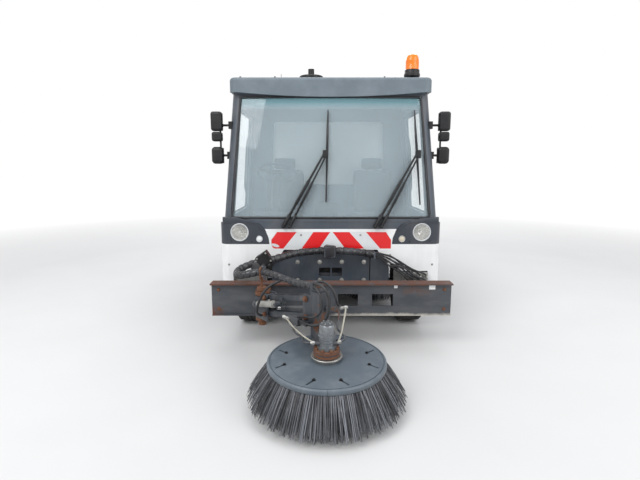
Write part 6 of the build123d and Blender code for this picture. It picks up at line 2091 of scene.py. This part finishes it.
@dataclass
class Body(Assembly):
    """The fittings of the hopper, the engine cover, the tailgate and the rear."""

    side_x: float = 1.01

    def hopper(self, finishes: Finishes) -> None:
        """The hopper's side markers, its bolted seams and its roof handles."""
        low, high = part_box("hopper")
        markers = []
        for side in Side:
            for y in (low.y + 0.25, (low.y + high.y) / 2, high.y - 0.3):
                x = side.value * (self.side_x + 0.001)
                markers.append(add_box("marker", (x - 0.004, y - 0.052, 1.06),
                                       (x + 0.006 * side.value, y + 0.052, 1.1), 0.0015))
        dress(join("side_markers", markers), "hopper", finishes.amber)
        places = []
        for side in Side:
            for i in range(9):
                y = low.y + 0.1 + i * (high.y - low.y - 0.35) / 8
                places.append(facing((side.value * self.side_x, y, 0.992), (side.value, 0, 0)))
        dress(hex_bolts("hopper_bolts", places, 0.008, 0.006), "hopper", finishes.zinc)
        rails = []
        for side in Side:
            x = side.value * 0.64
            bend = ((0.3, 2.325), (0.3, 2.366), (0.62, 2.366), (0.62, 2.325))
            rails.append(bent_bar("rail", [(x, low.y + dy, z) for dy, z in bend], 0.01, 4))
        fitted("roof_handles", rails, "hopper", finishes.zinc)

    def tailgate(self, finishes: Finishes) -> None:
        """The latches and the blank number plate of the tailgate."""
        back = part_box("tailgate")[1].y
        latches = []
        for side in Side:
            x = side.value * 0.8
            latches.append(add_box("plate", (x - 0.035, back - 0.004, 1.065),
                                   (x + 0.035, back + 0.006, 1.215), 0.003))
            bend = ((0.004, 1.2), (0.03, 1.19), (0.034, 1.11), (0.016, 1.085))
            latches.append(bent_bar("lever", [(x, back + out, z) for out, z in bend], 0.009, 4))
            for dz in (0.02, 0.128):
                foot, head = ((x + 0.022, back + out, 1.065 + dz) for out in (0.004, 0.012))
                latches.append(add_rod("bolt", foot, head, 0.007, 6))
        fitted("tailgate_latches", latches, "tailgate", finishes.zinc)
        plate_piece = add_box("number_plate", (-0.26, back - 0.002, 1.08), (0.26, back + 0.004, 1.192), 0.002)
        with editing(plate_piece) as mesh:
            for face in mesh.faces:
                face.select = face.normal.y > 0.9 and face.calc_area() > 0.02
            bpy.ops.mesh.inset(thickness=0.006, depth=-0.0012)
        dress(plate_piece, "tailgate", finishes.white)

    def rear(self, finishes: Finishes) -> None:
        """The rear lamps' lenses, the tank caps and the reflectors."""
        low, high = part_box("rear_lamps")
        lenses = {"red": [], "amber": [], "clear": []}
        profile = [(0.0, 0.0012), (0.024, 0.0011), (0.03, 0.0008), (0.0325, 0.0), (0.033, -0.003),
                   (0.0, -0.003)]
        for side in Side:
            for i, kind in enumerate(lenses):
                x = side.value * (high.x - 0.045 - i * 0.072)
                place = facing((x, high.y - 0.0003, (low.z + high.z) / 2), (0, 1, 0))
                lenses[kind].append(spun("lens", profile, 28, matrix=place))
        dress(smooth(join("rear_lens_red", lenses["red"]), 20), "chassis", finishes.red_lens)
        dress(smooth(join("rear_lens_amber", lenses["amber"]), 20), "chassis", finishes.amber)
        dress(smooth(join("rear_lens_clear", lenses["clear"]), 20), "chassis", finishes.opal)
        caps = []
        tank_low, tank_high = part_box("side_tanks")
        for side in Side:
            place = Matrix.Translation((side.value * 0.8, tank_low.y + 0.18, tank_high.z - 0.04))
            caps.append(spun("cap", [(0.0, 0.02), (0.04, 0.02), (0.046, 0.016), (0.048, 0.0), (0.056, -0.001),
                                     (0.056, -0.006), (0.0, -0.006)], 36, matrix=place))
        fitted("tank_caps", caps, "chassis", finishes.black)
        low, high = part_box("rear_bumper")
        strips = []
        for side in Side:
            x = side.value * 0.7
            strips.append(add_box("strip", (x - 0.15, high.y - 0.001, 0.52),
                                  (x + 0.15, high.y + 0.0001, 0.575)))
        dress(join("rear_reflectors", strips), "chassis", finishes.red)

    def engine(self, finishes: Finishes) -> None:
        """The hinges, the locks and the grab handle of the engine cover."""
        low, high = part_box("engine_cover")
        pieces = []
        for side in Side:
            x = side.value * high.x
            for z in (0.95, 1.85):
                foot, head = ((x, low.y + 0.025, z + dz) for dz in (-0.045, 0.045))
                pieces.append(add_rod("hinge", foot, head, 0.008, 16, 0.001))
            for z in (0.9, 2.0):
                pieces.append(spun("lock", [
                    (0.0, 0.006), (0.016, 0.006), (0.019, 0.004), (0.019, -0.002), (0.0, -0.002)], 24,
                    matrix=facing((x, high.y - 0.05, z), (side.value, 0, 0))))
            bend = ((0.0, 1.4), (0.024, 1.41), (0.024, 1.53), (0.0, 1.54))
            points = [(side.value * (high.x + out), high.y - 0.045, z) for out, z in bend]
            pieces.append(bent_bar("handle", points, 0.0075, 4))
        fitted("engine_cover_fittings", pieces, "chassis", finishes.black)

    def steps(self) -> Steps:
        """The fittings from the hopper to the engine cover."""
        return self.hopper, self.tailgate, self.rear, self.engine


@dataclass
class FrontTool(Assembly):
    """The bolts, stickers and cylinders of the carrier and the arm."""

    plate_face_y: float = NOSE_Y - 0.046 - 0.016
    ram_side: float = -0.086

    def carrier(self, finishes: Finishes) -> None:
        """The tool plate's bolts and the beam's blank stickers and bolts."""
        spots = [(x, z) for z in (0.566, 0.738) for x in (-0.309, -0.103, 0.103, 0.309)]
        places = [facing((x, self.plate_face_y - 0.0005, z), (0, -1, 0)) for x, z in spots]
        dress(hex_bolts("tool_plate_bolts", places, 0.015, 0.011, 1.4), "chassis", finishes.zinc)
        rod_y = self.plate_face_y - 0.016
        rod = [add_rod("rod", (0.362, rod_y, 0.52), (0.362, rod_y, 0.812), 0.0058, 14),
               add_rod("nut", (0.362, rod_y, 0.77), (0.362, rod_y, 0.784), 0.0115, 6, 0.001),
               add_box("foot", (0.35, rod_y - 0.008, 0.512), (0.374, self.plate_face_y, 0.526), 0.002)]
        fitted("plate_rod", rod, "chassis", finishes.black)
        stickers = [add_box("sticker", (x0, BEAM_Y - 0.0004, z0), (x1, BEAM_Y + 0.0004, z1))
                    for x0, x1, z0, z1 in ((0.545, 0.575, 0.568, 0.592), (0.85, 0.905, 0.556, 0.596))]
        dress(join("beam_stickers", stickers), "chassis", finishes.white)
        beam_bolts = [facing((x, BEAM_Y, z), (0, -1, 0)) for x in (-0.985, 0.985) for z in (0.38, 0.555)]
        dress(hex_bolts("beam_bolts", beam_bolts, 0.011, 0.009, 1.4), "chassis", finishes.rusty)

    def cylinders(self, finishes: Finishes) -> None:
        """The painted barrels and bright rods of the lift and swing rams."""
        foot, eye = Vector((0.045, self.ram_side, 0.505)), Vector((0.346, self.ram_side, 0.572))
        collar, gland = foot.lerp(eye, 0.76), foot.lerp(eye, 0.86)
        barrel = [add_rod("barrel", ARM @ foot.lerp(eye, 0.105), ARM @ collar, 0.0256, 36, 0.002),
                  add_rod("collar", ARM @ collar, ARM @ (gland + (eye - foot) * 0.002), 0.0296, 36, 0.003)]
        port = ARM @ foot.lerp(eye, 0.62)
        barrel.append(add_rod("port", port + Vector((0, 0, 0.02)), port + Vector((0, 0, 0.036)),
                              0.01, 6, 0.001))
        fitted("lift_ram_barrel", barrel, "swing_bracket", finishes.ram)
        rod = add_rod("lift_ram_rod", ARM @ (gland + (eye - foot) * 0.002),
                      ARM @ foot.lerp(eye, 0.945), 0.0124, 28)
        dress(smooth(rod, 35), "swing_bracket", finishes.chrome)
        y, z = NOSE_Y - 0.443, 0.415
        swing = [add_rod("barrel", (-0.208, y, z), (-0.4, y, z), 0.0226, 36, 0.002),
                 add_rod("collar", (-0.4, y, z), (-0.4352, y, z), 0.0256, 36, 0.003)]
        fitted("swing_ram_barrel", swing, "chassis", finishes.frame)
        dress(smooth(add_rod("swing_ram_rod", (-0.4352, y, z), (-0.492, y, z), 0.0114, 28), 35), "chassis",
              finishes.chrome)

    def pins(self, finishes: Finishes) -> None:
        """The washers and nuts on the arm's pins."""
        groups = [
            # body, places along the arm and their heights
            ("swing_bracket", [(0.12, 0.43), (0.12, 0.565)]),
            ("brush_head", [(HEAD_PIN_X, 0.43 + LINK_LENGTH * math.sin(LINK_RISE)),
                            (HEAD_PIN_X, 0.565 + LINK_LENGTH * math.sin(LINK_RISE))]),
        ]
        for body, spots in groups:
            places = []
            for x, z in spots:
                for sign in (-1, 1):
                    out = ARM.to_3x3() @ Vector((0, sign, 0))
                    places.append(facing(on_arm(x, sign * 0.057, z), out))
            dress(hex_bolts(f"{body}_pin_nuts", places, 0.0175, 0.012, 1.25), body, finishes.rusty)
        cap = spun("pivot_cap", [
            (0.0, 0.0295), (0.02, 0.029), (0.036, 0.0275), (0.0405, 0.024), (0.0405, 0.0), (0.0, 0.0)], 40,
            matrix=Matrix.Translation(ARM_PIVOT + Vector((0, 0, 0.5995))))
        dress(smooth(cap, 35), "chassis", finishes.rusty)

    def steps(self) -> Steps:
        """The fittings of the carrier, then the arm's."""
        return self.carrier, self.cylinders, self.pins


@dataclass
class Stage:
    """The floor, the light and the camera at the photograph's viewing angle."""

    focal_px: float = 444.0
    image_width: float = 640.0
    pitch_deg: float = 9.2
    height: float = 1.6
    distance: float = 4.11
    camera_x: float = -0.1
    sky_tint: Colour = (0.93, 0.95, 1.0)
    sky_strength: float = 0.55

    def camera(self) -> None:
        """Place the camera."""
        data = bpy.data.cameras.new("camera")
        data.sensor_width = 36.0
        data.lens = self.focal_px / self.image_width * data.sensor_width
        data.clip_end = 200.0
        camera = add_object("camera", data)
        camera.location = (self.camera_x, NOSE_Y - self.distance, self.height)
        camera.rotation_euler = (math.radians(90.0 - self.pitch_deg), 0.0, 0.0)
        bpy.context.scene.camera = camera

    def floor(self) -> None:
        """Lay a pale floor with soft variation."""
        deselect_all()
        bpy.ops.mesh.primitive_plane_add(size=120.0, location=(0, 0, 0))
        floor = bpy.context.object
        floor.name = "floor"
        n = Nodes("floor")
        far = n.ramp(n.math("SQRT", n.plus(n.math("POWER", n.axis(0), 2.0), n.math("POWER", n.axis(1), 2.0))),
                     5.0, 11.0)
        near = n.blend(n.noise(1.2, 6.0), (0.62, 0.62, 0.615), (0.67, 0.67, 0.665))
        n.feed("Base Color", n.blend(far, near, (0.0, 0.0, 0.0)))
        n.feed("Emission Color", n.blend(far, (0.0, 0.0, 0.0), (1.0, 1.0, 1.0)))
        n.feed("Emission Strength", 1.0)
        n.feed("Roughness", 0.9)
        n.feed("Specular IOR Level", 0.2)
        floor.data.materials.append(n.material)

    def lights(self) -> None:
        """Hang large soft lamps round the machine and set the pale world."""
        lamps = [
            # name, place, size, power
            ("key", (-5.0, -7.5, 7.5), 6.0, 620.0),
            ("fill", (6.0, -6.0, 5.0), 6.0, 300.0),
            ("back", (0.0, 8.0, 6.5), 7.0, 420.0),
            ("top", (0.0, 0.0, 9.0), 8.0, 300.0),
        ]
        for name, place, size, power in lamps:
            data = bpy.data.lights.new(name, "AREA")
            data.size = size
            data.energy = power
            lamp = bpy.data.objects.new(name, data)
            lamp.location = place
            lamp.rotation_euler = (Vector(place) - Vector((0, 0, 1))).to_track_quat("Z", "Y").to_euler()
            bpy.context.scene.collection.objects.link(lamp)
        bpy.context.scene.world = self.sky()

    def sky(self) -> bpy.types.World:
        """The pale world: plain white where it is seen, tinted where it lights the machine.

        Returns:
            The new world.
        """
        world = bpy.data.worlds.new("pale_sky")
        world.use_nodes = True
        nodes, links = world.node_tree.nodes, world.node_tree.links
        shade = nodes["Background"]
        shade.inputs["Color"].default_value = (*self.sky_tint, 1.0)
        shade.inputs["Strength"].default_value = self.sky_strength
        white = nodes.new("ShaderNodeBackground")
        white.inputs["Color"].default_value = (1.0, 1.0, 1.0, 1.0)
        path = nodes.new("ShaderNodeLightPath")
        seen = path.outputs["Is Camera Ray"]
        for ray in ("Is Glossy Ray", "Is Transmission Ray"):
            either = nodes.new("ShaderNodeMath")
            either.operation = "MAXIMUM"
            links.new(seen, either.inputs[0])
            links.new(path.outputs[ray], either.inputs[1])
            seen = either.outputs[0]
        mix = nodes.new("ShaderNodeMixShader")
        for source, target in zip((seen, shade.outputs[0], white.outputs[0]), mix.inputs):
            links.new(source, target)
        links.new(mix.outputs[0], nodes["World Output"].inputs["Surface"])
        return world

    def build(self) -> None:
        """Set up the whole stage."""
        self.camera()
        self.floor()
        self.lights()
        bpy.context.scene.view_settings.view_transform = "Standard"


class NodeFinishes:
    """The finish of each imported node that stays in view."""

    def __init__(self, finishes: Finishes) -> None:
        """Keep the finishes.

        Args:
            finishes: The shared finishes.
        """
        f = finishes
        self.by_slot = {"white_paint": f.white, "grey_paint": f.cab_grey, "frame_paint": f.frame,
                        "roof_plastic": f.roof, "black_plastic": f.black, "tyre_rubber": f.tyre,
                        "rim_steel": f.rim, "axle_steel": f.cast, "screen_glass": f.side_glass,
                        "lamp_glass": f.lens, "amber_lens": f.amber, "red_lens": f.red_lens,
                        "seat_cloth": f.cloth, "zinc": f.zinc, "rusty_steel": f.rusty, "disc_paint": f.disc,
                        "bristle": f.bristle, "hose_rubber": f.rubber}
        self.by_node = {"windscreen": f.screen, "cross_beam": f.beam, "lamp_panels": f.panel}

    def dress(self) -> None:
        """Assign the finishes."""
        slots = {s["node"]: s["material_slot"] for s in frame["record"]["subparts"]}
        for name, obj in frame["nodes"].items():
            material = self.by_node.get(name) or self.by_slot[slots[name]]
            obj.data.materials.clear()
            obj.data.materials.append(material)


def main() -> None:
    """Build every piece in order."""
    logging.basicConfig(level=logging.INFO, format="%(message)s")
    random.seed(11)
    finishes = Finishes()
    Stage().build()
    NodeFinishes(finishes).dress()
    side_brush_sizes = (0.235, 0.385, 0.257, 0.09, 0.0218, 210)
    parts = (
        HoseBundles(),
        PlateBrush("front_brush", BRUSH, 0.402, 0.545, 0.262, 0.106, 0.0305, 480),
        *(PlateBrush(f"side_brush_{side.label}", side_brush_place(side), *side_brush_sizes) for side in Side),
        BrushMotor(), NoseStripes(), FrontLamps(), Beacon(), Wipers(), Mirrors(), Tyres(),
        Seats(), CabInside(), CabShell(), Body(), FrontTool(),
    )
    for part in parts:
        log.info("Building %s", type(part).__name__)
        part.build(finishes)


if __name__ == "__main__":
    main()
